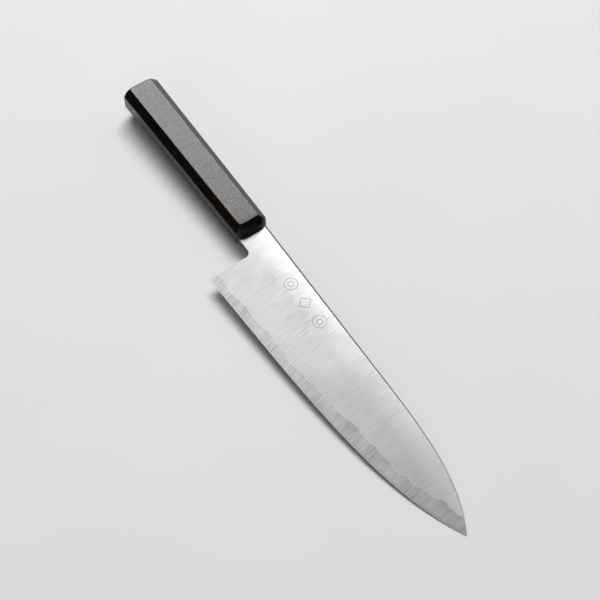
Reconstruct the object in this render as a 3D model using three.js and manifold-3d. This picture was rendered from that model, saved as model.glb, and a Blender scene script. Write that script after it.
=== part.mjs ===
// A chef's knife: a three-layer forged blade with its tang bedded in an octagonal wooden handle.
//
// It is modelled with X from the handle towards the tip (X = 0 at the front of the handle), Y from the
// cutting edge up towards the spine (Y = 0 on the handle's axis) and Z out of the blade's right face
// (Z = 0 in the blade's middle plane). The whole knife is then laid on its left side, as it rests on a
// table: on the lower front edge of the handle and on the tip. All sizes are in millimetres.

import * as THREE from "three";
import { mergeGeometries, mergeVertices } from "three/addons/utils/BufferGeometryUtils.js";
import Module from "manifold-3d";

const { degToRad, lerp } = THREE.MathUtils;

// Handle
const handleLength = 148.7;
const front = { height: 24.2, thickness: 18.65, chamfer: 4.8, crownOverHeight: 4.4, crownOverThickness: 6.5 };
const butt = { height: 27.6, thickness: 21.5, chamfer: 5.4, crownOverHeight: 2.5, crownOverThickness: 2.5 };
const crownHeightPower = 4; // the crown is flat in the middle and falls off towards the chamfers
const crownThicknessPower = 2.5;
const mouthDepth = 4.2; // depth of the slot that takes the neck
const shoulderGap = 0.2; // between the tang's shoulders and the slot's floor
const sealWall = 0.45; // width of the sealed joint round the neck
const sealSetBack = 0.1; // how far the seal lies below the crown
const mortiseHeight = 12.6;
const mortiseThickness = 5.6;
const mortiseSpare = 4; // how far the mortise runs past the end of the tang
const fitGap = 0.05; // clearance between pieces that bear on each other

// Blade outline
const neckLength = 12.5; // front of the handle to the heel line
const edgeReach = 237.8; // heel line to the tip, along X
const heelDepth = 44.3; // handle axis down to the edge at the heel
const tipDepth = 15.2; // handle axis down to the tip
const spineInset = 2.2; // the spine lies this far inside the handle's upper side
const spineStraight = 140; // length of the straight part of the spine
const spineFall = 3.05; // how far the straight part comes down
const spineLead = 44; // tangent length where the spine starts to curve
const spineTipLead = 33.5; // tangent length of the spine at the tip
const spineTipAngle = degToRad(34.2);
const edgeHeelAngle = degToRad(1.4);
const edgeLead = 120; // tangent length of the edge at the heel
const edgeTipLead = 58; // tangent length of the edge at the tip
const edgeTipAngle = degToRad(25.1);
const neckInset = 0.9; // the neck's lower side lies this far inside the handle's lower side
const neckFillet = 4.5; // radius between the neck and the heel line

// Blade thickness
const neckThickness = 3;
const tipThickness = 0.3; // what the spine would come down to at the tip
const distalPower = 1.5; // how the spine thins towards the tip
const grindPower = 1.8; // how convex the faces are
const edgeThickness = 0.2; // thickness just behind the cutting bevel
const bevelWidth = 0.6; // height of the cutting bevel

// Core layer
const coreRiseAtHeel = 6.8; // edge up to where the cladding starts, at the heel
const coreRiseAtTip = 10.6;
const waveHeight = 0.9; // how far the forged border wanders
const waveLengths = [47, 29];
const weldGap = 0.02; // clearance between the layers

// Tang
const tangLength = 100; // shoulder to the end
const tangRootHeight = 10;
const tangEndHeight = 6.4;
const tangEndThickness = 2.2;

// Mesh fineness
const bladeStep = 5.2; // distance between stations along the blade
const crownRings = 5;
const facetSteps = 4; // points along each side of the octagon
const filletSteps = 4;
const arcSteps = 5;
const sameHeight = 1e-3; // two faces this close together are one sharp edge

const spineHeight = front.height / 2 - spineInset;
const neckDepth = front.height / 2 - neckInset;
const heelX = neckLength;
const tipX = heelX + edgeReach;
const shoulderX = shoulderGap - mouthDepth;
const tangEndX = shoulderX - tangLength;

const spineCurve = new THREE.CubicBezierCurve(
  new THREE.Vector2(spineStraight, spineHeight - spineFall),
  new THREE.Vector2(spineLead, 0)
    .rotateAround(new THREE.Vector2(), -Math.atan2(spineFall, spineStraight))
    .add(new THREE.Vector2(spineStraight, spineHeight - spineFall)),
  new THREE.Vector2(-spineTipLead, 0)
    .rotateAround(new THREE.Vector2(), -spineTipAngle)
    .add(new THREE.Vector2(tipX, -tipDepth)),
  new THREE.Vector2(tipX, -tipDepth),
);

const edgeCurve = new THREE.CubicBezierCurve(
  new THREE.Vector2(heelX, -heelDepth),
  new THREE.Vector2(edgeLead, 0)
    .rotateAround(new THREE.Vector2(), edgeHeelAngle)
    .add(new THREE.Vector2(heelX, -heelDepth)),
  new THREE.Vector2(-edgeTipLead, 0)
    .rotateAround(new THREE.Vector2(), edgeTipAngle)
    .add(new THREE.Vector2(tipX, -tipDepth)),
  new THREE.Vector2(tipX, -tipDepth),
);

// The number between low and high where a rising test turns from false to true.
function bisect(low, high, isPast) {
  for (let turn = 0; turn < 50; turn++) {
    const middle = (low + high) / 2;
    if (isPast(middle)) high = middle;
    else low = middle;
  }
  return (low + high) / 2;
}

// Height of a curve at X, for a curve on which X only grows.
function heightAt(curve, x) {
  return curve.getPoint(bisect(0, 1, (t) => curve.getPoint(t).x > x)).y;
}

function spineAt(x) {
  if (x > spineStraight) return heightAt(spineCurve, x);
  return spineHeight - (spineFall * x) / spineStraight;
}

function edgeAt(x) {
  return heightAt(edgeCurve, Math.max(x, heelX));
}

// Share of the way from the heel to the tip, zero in the neck and the tang.
function shareToTip(x) {
  return Math.max(0, (x - heelX) / edgeReach);
}

// Half the thickness of the spine, from the end of the tang to the tip.
function spineHalf(x) {
  if (x < shoulderX) return lerp(neckThickness, tangEndThickness, (shoulderX - x) / tangLength) / 2;
  return lerp(tipThickness, neckThickness, 1 - shareToTip(x) ** distalPower) / 2;
}

// Half the thickness of the convex ground blade, at a height above the edge.
function groundHalf(x, rise) {
  if (rise < sameHeight) return 0;
  const width = spineAt(Math.max(x, heelX)) - edgeAt(x);
  const bevel = Math.min(bevelWidth, width / 3);
  const edgeHalf = Math.min(edgeThickness / 2, spineHalf(x));
  if (rise < bevel) return (edgeHalf * rise) / bevel;
  const share = Math.min(1, (rise - bevel) / (width - bevel));
  return lerp(edgeHalf, spineHalf(x), 1 - (1 - share) ** grindPower);
}

// Height above the edge at which the core goes under the cladding: a slow rise with two forged waves.
function coreRise(x) {
  const waves = waveLengths.map((length) => Math.sin((2 * Math.PI * x) / length));
  const wander = (waveHeight * (waves[0] + waves[1])) / 2;
  return lerp(coreRiseAtHeel, coreRiseAtTip, Math.sqrt(shareToTip(x))) + wander;
}

function bladeWidth(x) {
  return spineAt(x) - edgeAt(x);
}

const claddingEndX = bisect(heelX, tipX, (x) => bladeWidth(x) < coreRise(x));

// Half the thickness of the core layer where the cladding covers it.
function coreHalf(x) {
  const station = THREE.MathUtils.clamp(x, heelX, claddingEndX);
  return groundHalf(station, coreRise(station));
}

// Points from low to high in even steps no longer than the given one, both ends included.
function stations(low, high, step) {
  const count = Math.max(1, Math.ceil((high - low) / step));
  return Array.from({ length: count + 1 }, (_, i) => lerp(low, high, i / count));
}

// Rows of the neck as shares of its height, so that the tang's sides meet it at its shoulder.
const shoulderSpan = spineAt(shoulderX) + neckDepth;
const neckShares = [0, neckDepth - tangRootHeight / 2, neckDepth, neckDepth + tangRootHeight / 2]
  .map((height) => height / shoulderSpan)
  .concat(1);

// Rows over the cladding as shares of its height, so that the neck's rows meet them at the heel line.
const claddingFoot = edgeAt(heelX) + coreRise(heelX);
const neckFoot = (-neckDepth - neckFillet - claddingFoot) / (spineAt(heelX) - claddingFoot);
const claddingShares = [0, neckFoot / 2].concat(neckShares.map((share) => lerp(neckFoot, 1, share)));
const bevelRows = 3; // edge, top of the cutting bevel and middle of the bare core

// The points of one station of the blade, from the edge to the spine.
function bladeColumn(x) {
  const foot = edgeAt(x);
  const top = spineAt(x);
  const rise = x < claddingEndX ? coreRise(x) : top - foot;
  const bevel = Math.min(bevelWidth, rise / 4);
  const bare = [0, bevel, (bevel + rise) / 2].map((height) => foot + height);
  const covered = claddingShares.map((share) => lerp(foot + rise, top, share));
  return bare.concat(covered).map((y) => new THREE.Vector2(x, y));
}

function neckColumn(x, foot) {
  return neckShares.map((share) => new THREE.Vector2(x, lerp(foot, spineAt(x), share)));
}

function tangColumn(x) {
  const half = lerp(tangRootHeight, tangEndHeight, (shoulderX - x) / tangLength) / 2;
  return [-half, 0, half].map((y) => new THREE.Vector2(x, y));
}

const tipStations = stations(claddingEndX, tipX, bladeStep / 2).slice(1, -1);
const bladeStations = stations(heelX, claddingEndX, bladeStep);
const bareColumns = [claddingEndX, ...tipStations].map(bladeColumn);
const tipColumn = bareColumns[0].map(() => new THREE.Vector2(tipX, -tipDepth));
const bladeColumns = bladeStations.slice(0, -1).map(bladeColumn);

// Neck stations: an even run from the shoulder, then the fillet's arc to the heel line.
function neckColumns() {
  const centreX = heelX - neckFillet;
  const columns = stations(shoulderX, centreX, bladeStep).map((x) => neckColumn(x, -neckDepth));
  for (let step = 1; step < filletSteps; step++) {
    const turn = (step * Math.PI) / (2 * filletSteps);
    const drop = neckFillet * (1 - Math.cos(turn));
    columns.push(neckColumn(centreX + neckFillet * Math.sin(turn), -neckDepth - drop));
  }
  return columns.concat([bladeColumns[0].slice(-neckShares.length)]);
}

function tangColumns(shoulder) {
  return stations(tangEndX, shoulderX, 4 * bladeStep).slice(0, -1).map(tangColumn).concat([shoulder]);
}

// Drops the triangles that lost a corner when equal points were merged.
function withoutCollapsed(geometry) {
  const corners = geometry.index.array;
  const kept = [];
  for (let i = 0; i < corners.length; i += 3) {
    const [a, b, c] = corners.slice(i, i + 3);
    if (a !== b && b !== c && c !== a) kept.push(a, b, c);
  }
  return geometry.setIndex(kept);
}

function indexed(points, corners) {
  const geometry = new THREE.BufferGeometry();
  geometry.setAttribute("position", new THREE.Float32BufferAttribute(points, 3));
  return geometry.setIndex(corners);
}

// A flat mesh over a grid of columns, wound to face +Z.
function patch(columns) {
  const rows = columns[0].length;
  const points = columns.flat().flatMap((point) => [point.x, point.y, 0]);
  const corners = [];
  for (let i = 0; i + 1 < columns.length; i++) {
    for (let j = 0; j + 1 < rows; j++) {
      const near = i * rows + j;
      const far = near + rows;
      corners.push(near, far, far + 1, near, far + 1, near + 1);
    }
  }
  return indexed(points, corners);
}

// One flat mesh from several grids that share their border points.
function sheet(...grids) {
  return withoutCollapsed(mergeVertices(mergeGeometries(grids.map(patch)), 1e-5));
}

// The corners of the walls that close the rim of a flat mesh of count points, given all its corners.
function rimWalls(corners, count) {
  const nextCorner = (i) => (i % 3 === 2 ? i - 2 : i + 1);
  const sides = new Set();
  corners.forEach((from, i) => sides.add(`${from} ${corners[nextCorner(i)]}`));
  return corners.flatMap((from, i) => {
    const to = corners[nextCorner(i)];
    if (sides.has(`${to} ${from}`)) return [];
    return [from + count, to + count, to, from + count, to, from];
  });
}

// A closed solid over a flat mesh, between an upper and a lower height. Where the heights meet, it
// runs out to a sharp edge.
function solidOver(flat, upper, lower) {
  const place = flat.attributes.position;
  const count = place.count;
  const above = [];
  const below = [];
  for (let i = 0; i < count; i++) {
    const [x, y] = [place.getX(i), place.getY(i)];
    const top = upper(x, y);
    const bottom = lower(x, y);
    above.push(x, y, top);
    below.push(x, y, top - bottom < sameHeight ? top : bottom);
  }
  const corners = Array.from(flat.index.array);
  const underside = corners.map((corner) => corner + count).reverse();
  const all = corners.concat(underside, rimWalls(corners, count));
  return withoutCollapsed(mergeVertices(indexed(above.concat(below), all), 1e-4));
}

const bareRows = (column) => column.slice(0, bevelRows + 1);
const coveredRows = (column) => column.slice(bevelRows);
const neckGrid = neckColumns();
const tangGrid = tangColumns(neckGrid[0].slice(1, 4));
const coreSheet = sheet(
  [...bladeColumns, bareColumns[0]],
  [...bareColumns, tipColumn].map(bareRows),
  neckGrid,
  tangGrid,
);
const claddingSheet = sheet([...bladeColumns, bareColumns[0]].map(coveredRows), neckGrid, tangGrid);

// Outer surface of the blade, and the face of the core under the cladding.
function outerHalf(x, y) {
  return groundHalf(x, y - edgeAt(x));
}

function coreFace(x, y) {
  return x > claddingEndX ? outerHalf(x, y) : Math.min(outerHalf(x, y), coreHalf(x));
}

function bladeCore() {
  return solidOver(coreSheet, coreFace, (x, y) => -coreFace(x, y));
}

function rightCladding() {
  return solidOver(claddingSheet, (x, y) => weldGap + outerHalf(x, y), (x) => weldGap + coreHalf(x));
}

function leftCladding() {
  return solidOver(claddingSheet, (x) => -weldGap - coreHalf(x), (x, y) => -weldGap - outerHalf(x, y));
}

// The octagon of the handle at X: its half height, half thickness and chamfer.
function handleSection(x) {
  const share = -x / handleLength;
  return {
    halfHeight: lerp(front.height, butt.height, share) / 2,
    halfThickness: lerp(front.thickness, butt.thickness, share) / 2,
    chamfer: lerp(front.chamfer, butt.chamfer, share),
  };
}

// Points round the octagon at X, counter-clockwise seen from the front, with steps along each side.
function octagonPoints(x) {
  const { halfHeight: h, halfThickness: t, chamfer: c } = handleSection(x);
  const corners = [
    [h, t - c],
    [h - c, t],
    [c - h, t],
    [-h, t - c],
    [-h, c - t],
    [c - h, -t],
    [h - c, -t],
    [h, c - t],
  ].map(([y, z]) => new THREE.Vector2(y, z));
  return corners.flatMap((corner, i) => {
    const next = corners[(i + 1) % corners.length];
    return Array.from({ length: facetSteps }, (_, step) => corner.clone().lerp(next, step / facetSteps));
  });
}

// How far a crowned end falls back from its middle at a point of its section.
function crownFall(end, y, z) {
  const overHeight = end.crownOverHeight * Math.abs((2 * y) / end.height) ** crownHeightPower;
  return overHeight + end.crownOverThickness * Math.abs((2 * z) / end.thickness) ** crownThicknessPower;
}

// Rings of points over one crowned end, from its middle out to the arris where it meets the facets.
function crownRingPoints(end, endX, inward) {
  const rings = [];
  for (let ring = 1; ring <= crownRings; ring++) {
    const section = octagonPoints(endX);
    const points = section.map((point, i) => {
      const inner = point.clone().multiplyScalar(ring / crownRings);
      const x = endX + inward * crownFall(end, inner.x, inner.y);
      const onFacet = ring === crownRings ? octagonPoints(x)[i] : inner;
      return new THREE.Vector3(x, onFacet.x, onFacet.y);
    });
    rings.push(points);
  }
  return rings;
}

function handleBlank() {
  const frontRings = crownRingPoints(front, 0, -1);
  const buttRings = crownRingPoints(butt, -handleLength, 1);
  const rings = [...frontRings, ...buttRings.reverse()];
  const around = rings[0].length;
  const points = [new THREE.Vector3(0, 0, 0), ...rings.flat(), new THREE.Vector3(-handleLength, 0, 0)];
  const last = points.length - 1;
  const corners = [];
  for (let i = 0; i < around; i++) {
    const next = (i + 1) % around;
    corners.push(0, 1 + i, 1 + next, last, last - around + next, last - around + i);
    for (let ring = 0; ring + 1 < rings.length; ring++) {
      const near = 1 + ring * around;
      const far = near + around;
      corners.push(near + i, far + i, far + next, near + i, far + next, near + next);
    }
  }
  return indexed(points.flatMap((point) => point.toArray()), corners);
}

// A prism along X from one place to another, over an outline drawn with Y across and Z up.
function prismAlongX(outline, fromX, toX) {
  const depth = toX - fromX;
  const prism = new THREE.ExtrudeGeometry(outline, { depth, bevelEnabled: false, curveSegments: arcSteps });
  const turn = new THREE.Matrix4().makeBasis(
    new THREE.Vector3(0, 1, 0),
    new THREE.Vector3(0, 0, 1),
    new THREE.Vector3(1, 0, 0),
  );
  return prism.applyMatrix4(turn).translate(fromX, 0, 0);
}

function rectangle(lowY, highY, halfZ) {
  return new THREE.Shape([
    new THREE.Vector2(lowY, -halfZ),
    new THREE.Vector2(highY, -halfZ),
    new THREE.Vector2(highY, halfZ),
    new THREE.Vector2(lowY, halfZ),
  ]);
}

// The mortise's outline: flat sides and round ends.
function roundEnded(height, thickness) {
  const radius = thickness / 2;
  const centre = height / 2 - radius;
  const outline = new THREE.Shape();
  outline.absarc(centre, 0, radius, -Math.PI / 2, Math.PI / 2);
  outline.absarc(-centre, 0, radius, Math.PI / 2, (3 * Math.PI) / 2);
  return outline;
}

const wasm = await Module();
wasm.setup();

function toSolid(geometry) {
  const bare = geometry.clone();
  bare.deleteAttribute("normal");
  bare.deleteAttribute("uv");
  const merged = mergeVertices(bare, 1e-4);
  return new wasm.Manifold(new wasm.Mesh({
    numProp: 3,
    vertProperties: new Float32Array(merged.attributes.position.array),
    triVerts: new Uint32Array(merged.index.array),
  }));
}

function toGeometry(solid) {
  const mesh = solid.getMesh();
  return indexed(mesh.vertProperties, Array.from(mesh.triVerts));
}

// The slot in the front of the handle round the neck, made smaller on every side by a gap.
function mouthSlot(gap) {
  const wall = sealWall - gap;
  const outline = rectangle(-neckDepth - wall, spineAt(shoulderX) + wall, neckThickness / 2 + wall);
  return toSolid(prismAlongX(outline, gap - mouthDepth, mouthDepth));
}

// The long mortise for the tang, made smaller on every side by a gap. It opens into the mouth slot.
function mortise(gap, openX) {
  const outline = roundEnded(mortiseHeight - 2 * gap, mortiseThickness - 2 * gap);
  return toSolid(prismAlongX(outline, tangEndX - mortiseSpare + gap, openX));
}

function neckClearance() {
  const outline = rectangle(-neckDepth - fitGap, spineAt(shoulderX) + fitGap, neckThickness / 2 + fitGap);
  return toSolid(prismAlongX(outline, -2 * mouthDepth, 2 * mouthDepth));
}

// The tang grown on every side by the fitting gap and carried out through its shoulder.
function tangClearance() {
  const end = tangEndX - fitGap;
  const outline = new THREE.Shape([
    new THREE.Vector2(end, -tangEndHeight / 2 - fitGap),
    new THREE.Vector2(shoulderX, -tangRootHeight / 2 - fitGap),
    new THREE.Vector2(shoulderX, tangRootHeight / 2 + fitGap),
    new THREE.Vector2(end, tangEndHeight / 2 + fitGap),
  ]);
  const grown = neckThickness / 2 + weldGap + fitGap;
  const block = new THREE.ExtrudeGeometry(outline, { depth: 2 * grown, bevelEnabled: false });
  return toSolid(block.translate(0, 0, -grown));
}

function handleBody() {
  const cut = toSolid(handleBlank()).subtract(mouthSlot(0));
  return toGeometry(cut.subtract(mortise(0, fitGap - mouthDepth)));
}

function tangBedding() {
  return toGeometry(mortise(fitGap, -mouthDepth - fitGap).subtract(tangClearance()));
}

function mouthSeal() {
  const underCrown = toSolid(handleBlank().translate(-sealSetBack, 0, 0));
  return toGeometry(mouthSlot(fitGap).subtract(neckClearance()).intersect(underCrown));
}

const coreSteel = () => new THREE.MeshStandardMaterial({ color: 0xa9abac, roughness: 0.38, metalness: 1 });
const claddingSteel = () => new THREE.MeshStandardMaterial({ color: 0xd3d4d4, roughness: 0.3, metalness: 1 });
const darkWood = () => new THREE.MeshStandardMaterial({ color: 0x2b2422, roughness: 0.45, metalness: 0 });
const beddingResin = () => new THREE.MeshStandardMaterial({ color: 0x6b5636, roughness: 0.5, metalness: 0 });
const sealResin = () => new THREE.MeshStandardMaterial({ color: 0x15110f, roughness: 0.35, metalness: 0 });

const pieces = [
  ["blade_core", bladeCore, coreSteel],
  ["cladding_right", rightCladding, claddingSteel],
  ["cladding_left", leftCladding, claddingSteel],
  ["handle_body", handleBody, darkWood],
  ["tang_bedding", tangBedding, beddingResin],
  ["mouth_seal", mouthSeal, sealResin],
];

const knife = new THREE.Group();
for (const [name, shape, material] of pieces) {
  const mesh = new THREE.Mesh(shape(), material());
  mesh.name = name;
  knife.add(mesh);
}

// At rest the knife leans forward from the handle's lower front arris onto its tip.
const arrisX = -front.crownOverThickness;
knife.rotation.y = Math.atan2(handleSection(arrisX).halfThickness, tipX - arrisX);

// The origin is under the middle of the knife's box, on the surface that it lies on.
const restingKnife = new THREE.Group();
restingKnife.add(knife);
restingKnife.updateMatrixWorld(true);
const box = new THREE.Box3().setFromObject(restingKnife, true);
const middle = box.getCenter(new THREE.Vector3());
restingKnife.position.set(-middle.x, -middle.y, -box.min.z);

export default restingKnife;
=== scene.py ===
"""The looks of a chef's knife: a three-layer forged blade in an octagonal handle of dark wood.

Every piece is worked out in the knife's own axes, in millimetres: X from the front of the handle
towards the tip, Y from the cutting edge up to the spine (zero on the handle's axis) and Z out of
the blade's right face. The knife then leans forward onto its tip, as it lies on a table, and is
scaled to metres.
"""

import logging
import math
from collections.abc import Sequence
from dataclasses import dataclass, field
from enum import Enum

import bpy
import numpy as np
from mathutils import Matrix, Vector

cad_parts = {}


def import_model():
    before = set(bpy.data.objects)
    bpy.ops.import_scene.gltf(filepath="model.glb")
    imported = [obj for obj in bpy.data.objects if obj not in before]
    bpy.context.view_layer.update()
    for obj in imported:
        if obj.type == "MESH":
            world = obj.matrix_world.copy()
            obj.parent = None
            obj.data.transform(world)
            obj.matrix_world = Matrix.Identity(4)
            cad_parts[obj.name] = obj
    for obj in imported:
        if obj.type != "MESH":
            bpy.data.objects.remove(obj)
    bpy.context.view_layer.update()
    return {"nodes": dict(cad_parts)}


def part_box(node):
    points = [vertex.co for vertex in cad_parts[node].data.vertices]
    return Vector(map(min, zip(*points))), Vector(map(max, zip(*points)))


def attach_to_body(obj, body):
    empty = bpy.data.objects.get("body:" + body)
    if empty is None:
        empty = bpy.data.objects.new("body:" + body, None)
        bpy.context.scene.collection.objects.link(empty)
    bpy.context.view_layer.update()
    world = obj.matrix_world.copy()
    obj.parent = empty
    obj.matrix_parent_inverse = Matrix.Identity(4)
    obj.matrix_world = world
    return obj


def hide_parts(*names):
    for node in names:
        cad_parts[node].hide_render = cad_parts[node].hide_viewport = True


LOG = logging.getLogger("chef_knife")
METRES_PER_MM = 0.001
BODY = "root"
MERGE_DECIMALS = 4  # points that agree to this many decimals of a millimetre are one
TINY = 1e-6  # keeps a division or a comparison clear of zero
CLOUD_SPAN = (0.35, 0.65)  # where nearly all of a cloudy noise lies
STEEL_SHARP_ANGLE = math.radians(24)
HANDLE_SHARP_ANGLE = math.radians(40)

Colour = tuple[float, float, float]
Scale = tuple[float, float, float]
Span = tuple[float, float]
Numbers = np.ndarray | float
Socket = bpy.types.NodeSocket


class Side(Enum):
    """The face of the blade that a cladding covers; the value is the sign of its Z."""

    RIGHT = 1
    LEFT = -1


class MarkShape(Enum):
    """Plain figures that a maker can punch into a blade."""

    RING = "ring"
    LOZENGE = "lozenge"


def lerp(low: Numbers, high: Numbers, share: Numbers) -> np.ndarray:
    """The point that lies a share of the way from low to high.

    Args:
        low: Value at a share of zero.
        high: Value at a share of one.
        share: Share of the way.

    Returns:
        low times (1 - share) plus high times share.
    """
    return np.asarray(low) * (1 - np.asarray(share)) + np.asarray(high) * share


def bezier(controls: list[tuple[float, float]], count: int) -> np.ndarray:
    """Points along a cubic Bezier curve.

    Args:
        controls: Its four control points.
        count: How many points to take, at even steps of the parameter t.

    Returns:
        Array (count, 2): (1-t)^3 a + 3 (1-t)^2 t b + 3 (1-t) t^2 c + t^3 d.
    """
    a, b, c, d = (np.array(point) for point in controls)
    t = np.linspace(0, 1, count)[:, None]
    return (1 - t) ** 3 * a + 3 * (1 - t) ** 2 * t * b + 3 * (1 - t) * t**2 * c + t**3 * d


@dataclass(frozen=True)
class CurveEnd:
    """One end of a cubic curve.

    Attributes:
        x: Its place along the knife.
        y: Its height.
        angle: Angle of the curve's rise there, in radians.
        lead: How far the curve is drawn out along that angle.
    """

    x: float
    y: float
    angle: float
    lead: float

    def control(self, sign: int) -> tuple[float, float]:
        """The control point beside this end: the end plus or minus the lead along the angle."""
        run, rise = self.lead * math.cos(self.angle), self.lead * math.sin(self.angle)
        return self.x + sign * run, self.y + sign * rise


def curve_between(start: CurveEnd, end: CurveEnd, count: int) -> np.ndarray:
    """A cubic curve that leaves one end and reaches the other at their own angles.

    Args:
        start: Where it begins.
        end: Where it ends.
        count: How many points to take.

    Returns:
        Array (count, 2) of places and heights.
    """
    return bezier([(start.x, start.y), start.control(1), end.control(-1), (end.x, end.y)], count)


def bend(first: np.ndarray, corner: np.ndarray, last: np.ndarray, share: Numbers) -> np.ndarray:
    """A quadratic curve from one point to another, pulled towards a corner.

    Args:
        first: Where it starts.
        corner: What it is pulled towards.
        last: Where it ends.
        share: How far along it to be, from 0 to 1.

    Returns:
        (1-u)^2 first + 2 u (1-u) corner + u^2 last, where u is the share.
    """
    return (1 - share) ** 2 * first + 2 * share * (1 - share) * corner + share**2 * last


def unit(vectors: np.ndarray) -> np.ndarray:
    """Vectors of the same directions, each divided by its own length."""
    return vectors / np.linalg.norm(vectors, axis=1)[:, None]


@dataclass(frozen=True)
class Placement:
    """Takes points from the knife's own axes to the resting knife's place in the frame.

    Attributes:
        lean: Angle in radians by which the tip is lowered, turning about Y.
        offset: Where the front of the handle's axis comes to, in millimetres.
    """

    lean: float
    offset: tuple[float, float, float]

    def to_frame(self, points: np.ndarray) -> np.ndarray:
        """Turns points about Y by the lean, moves them by the offset and scales them to metres.

        Args:
            points: Array (n, 3) in millimetres in the knife's own axes.

        Returns:
            Array (n, 3) in metres in the frame.
        """
        x, y, z = points.T
        sine, cosine = math.sin(self.lean), math.cos(self.lean)
        turned = np.stack([x * cosine + z * sine, y, z * cosine - x * sine], axis=1)
        return (turned + np.array(self.offset)) * METRES_PER_MM


@dataclass(frozen=True)
class Skin:
    """A closed mesh of triangles with numbers carried on its points.

    Attributes:
        points: Array (n, 3) in millimetres.
        triangles: Array (k, 3) of point numbers.
        values: Named arrays (n,) that the materials read.
    """

    points: np.ndarray
    triangles: np.ndarray
    values: dict[str, np.ndarray] = field(default_factory=dict)

    @classmethod
    def over_rings(
        cls, rings: np.ndarray, values: dict[str, np.ndarray], looped: bool = False
    ) -> "Skin":
        """Joins closed rings of points into one closed skin.

        Each ring is joined to the next by a band of triangles. The first and last rings are closed
        by a fan round their middles, unless the rings themselves close into a loop.

        Args:
            rings: Array (rings, points in a ring, 3) in millimetres.
            values: Named arrays (rings, points in a ring).
            looped: Whether the last ring joins the first.

        Returns:
            The welded skin with its faces outwards.
        """
        count, around = rings.shape[:2]
        ring = np.arange(count if looped else count - 1)[:, None]
        step = np.arange(around)[None, :]
        following = (ring + 1) % count
        beside = (step + 1) % around
        a, b = ring * around + step, following * around + step
        c, d = following * around + beside, ring * around + beside
        bands = np.concatenate([np.stack([a, b, c], -1), np.stack([a, c, d], -1)]).reshape(-1, 3)
        flat = {name: value.reshape(-1) for name, value in values.items()}
        points = rings.reshape(-1, 3)
        if looped:
            return cls(points, bands, flat).welded()
        ends = np.array([rings[0].mean(0), rings[-1].mean(0)])
        first, second = step[0], beside[0]
        last = (count - 1) * around
        start_cap = np.stack([np.full(around, count * around), first, second], -1)
        end_cap = np.stack([np.full(around, count * around + 1), last + second, last + first], -1)
        capped = {
            name: np.append(flat[name], [value[0].mean(), value[-1].mean()])
            for name, value in values.items()
        }
        triangles = np.vstack([bands, start_cap, end_cap])
        return cls(np.vstack([points, ends]), triangles, capped).welded()

    def welded(self) -> "Skin":
        """Merges equal points, drops the triangles that lose a corner, and faces the rest outwards.

        The faces point outwards when the volume that they enclose, a sixth of the sum of
        p . (q x r) over the triangles p q r, is positive.

        Returns:
            The cleaned skin.
        """
        rounded = np.round(self.points, MERGE_DECIMALS)
        _, kept, place = np.unique(rounded, axis=0, return_index=True, return_inverse=True)
        corners = place.reshape(-1)[self.triangles]
        a, b, c = corners.T
        corners = corners[(a != b) & (b != c) & (c != a)]
        points = self.points[kept]
        p, q, r = (points[corners[:, i]] for i in range(3))
        if np.einsum("ij,ij->", p, np.cross(q, r)) < 0:
            corners = corners[:, ::-1]
        return Skin(points, corners, {name: value[kept] for name, value in self.values.items()})

    def mirrored(self) -> "Skin":
        """The same skin on the other side of the blade's middle plane, Z turned to -Z."""
        return Skin(self.points * np.array([1, 1, -1]), self.triangles, self.values).welded()

    def to_object(self, name: str, placement: Placement, sharp_angle: float) -> bpy.types.Object:
        """Makes the Blender object, at the origin, with its place in its mesh.

        Args:
            name: Name of the object and its mesh.
            placement: Where the knife rests.
            sharp_angle: Edges turning by more than this, in radians, stay sharp.

        Returns:
            The object, linked to the scene.
        """
        mesh = bpy.data.meshes.new(name)
        faces = len(self.triangles)
        mesh.vertices.add(len(self.points))
        mesh.vertices.foreach_set("co", placement.to_frame(self.points).astype(np.float32).ravel())
        mesh.loops.add(3 * faces)
        mesh.loops.foreach_set("vertex_index", self.triangles.astype(np.int32).ravel())
        mesh.polygons.add(faces)
        mesh.polygons.foreach_set("loop_start", np.arange(0, 3 * faces, 3, dtype=np.int32))
        mesh.polygons.foreach_set("use_smooth", np.ones(faces, dtype=bool))
        for label, value in self.values.items():
            attribute = mesh.attributes.new(label, "FLOAT", "POINT")
            attribute.data.foreach_set("value", value.astype(np.float32))
        mesh.update(calc_edges=True)
        mesh.validate()
        mesh.set_sharp_from_angle(angle=sharp_angle)
        piece = bpy.data.objects.new(name, mesh)
        bpy.context.scene.collection.objects.link(piece)
        return piece


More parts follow.
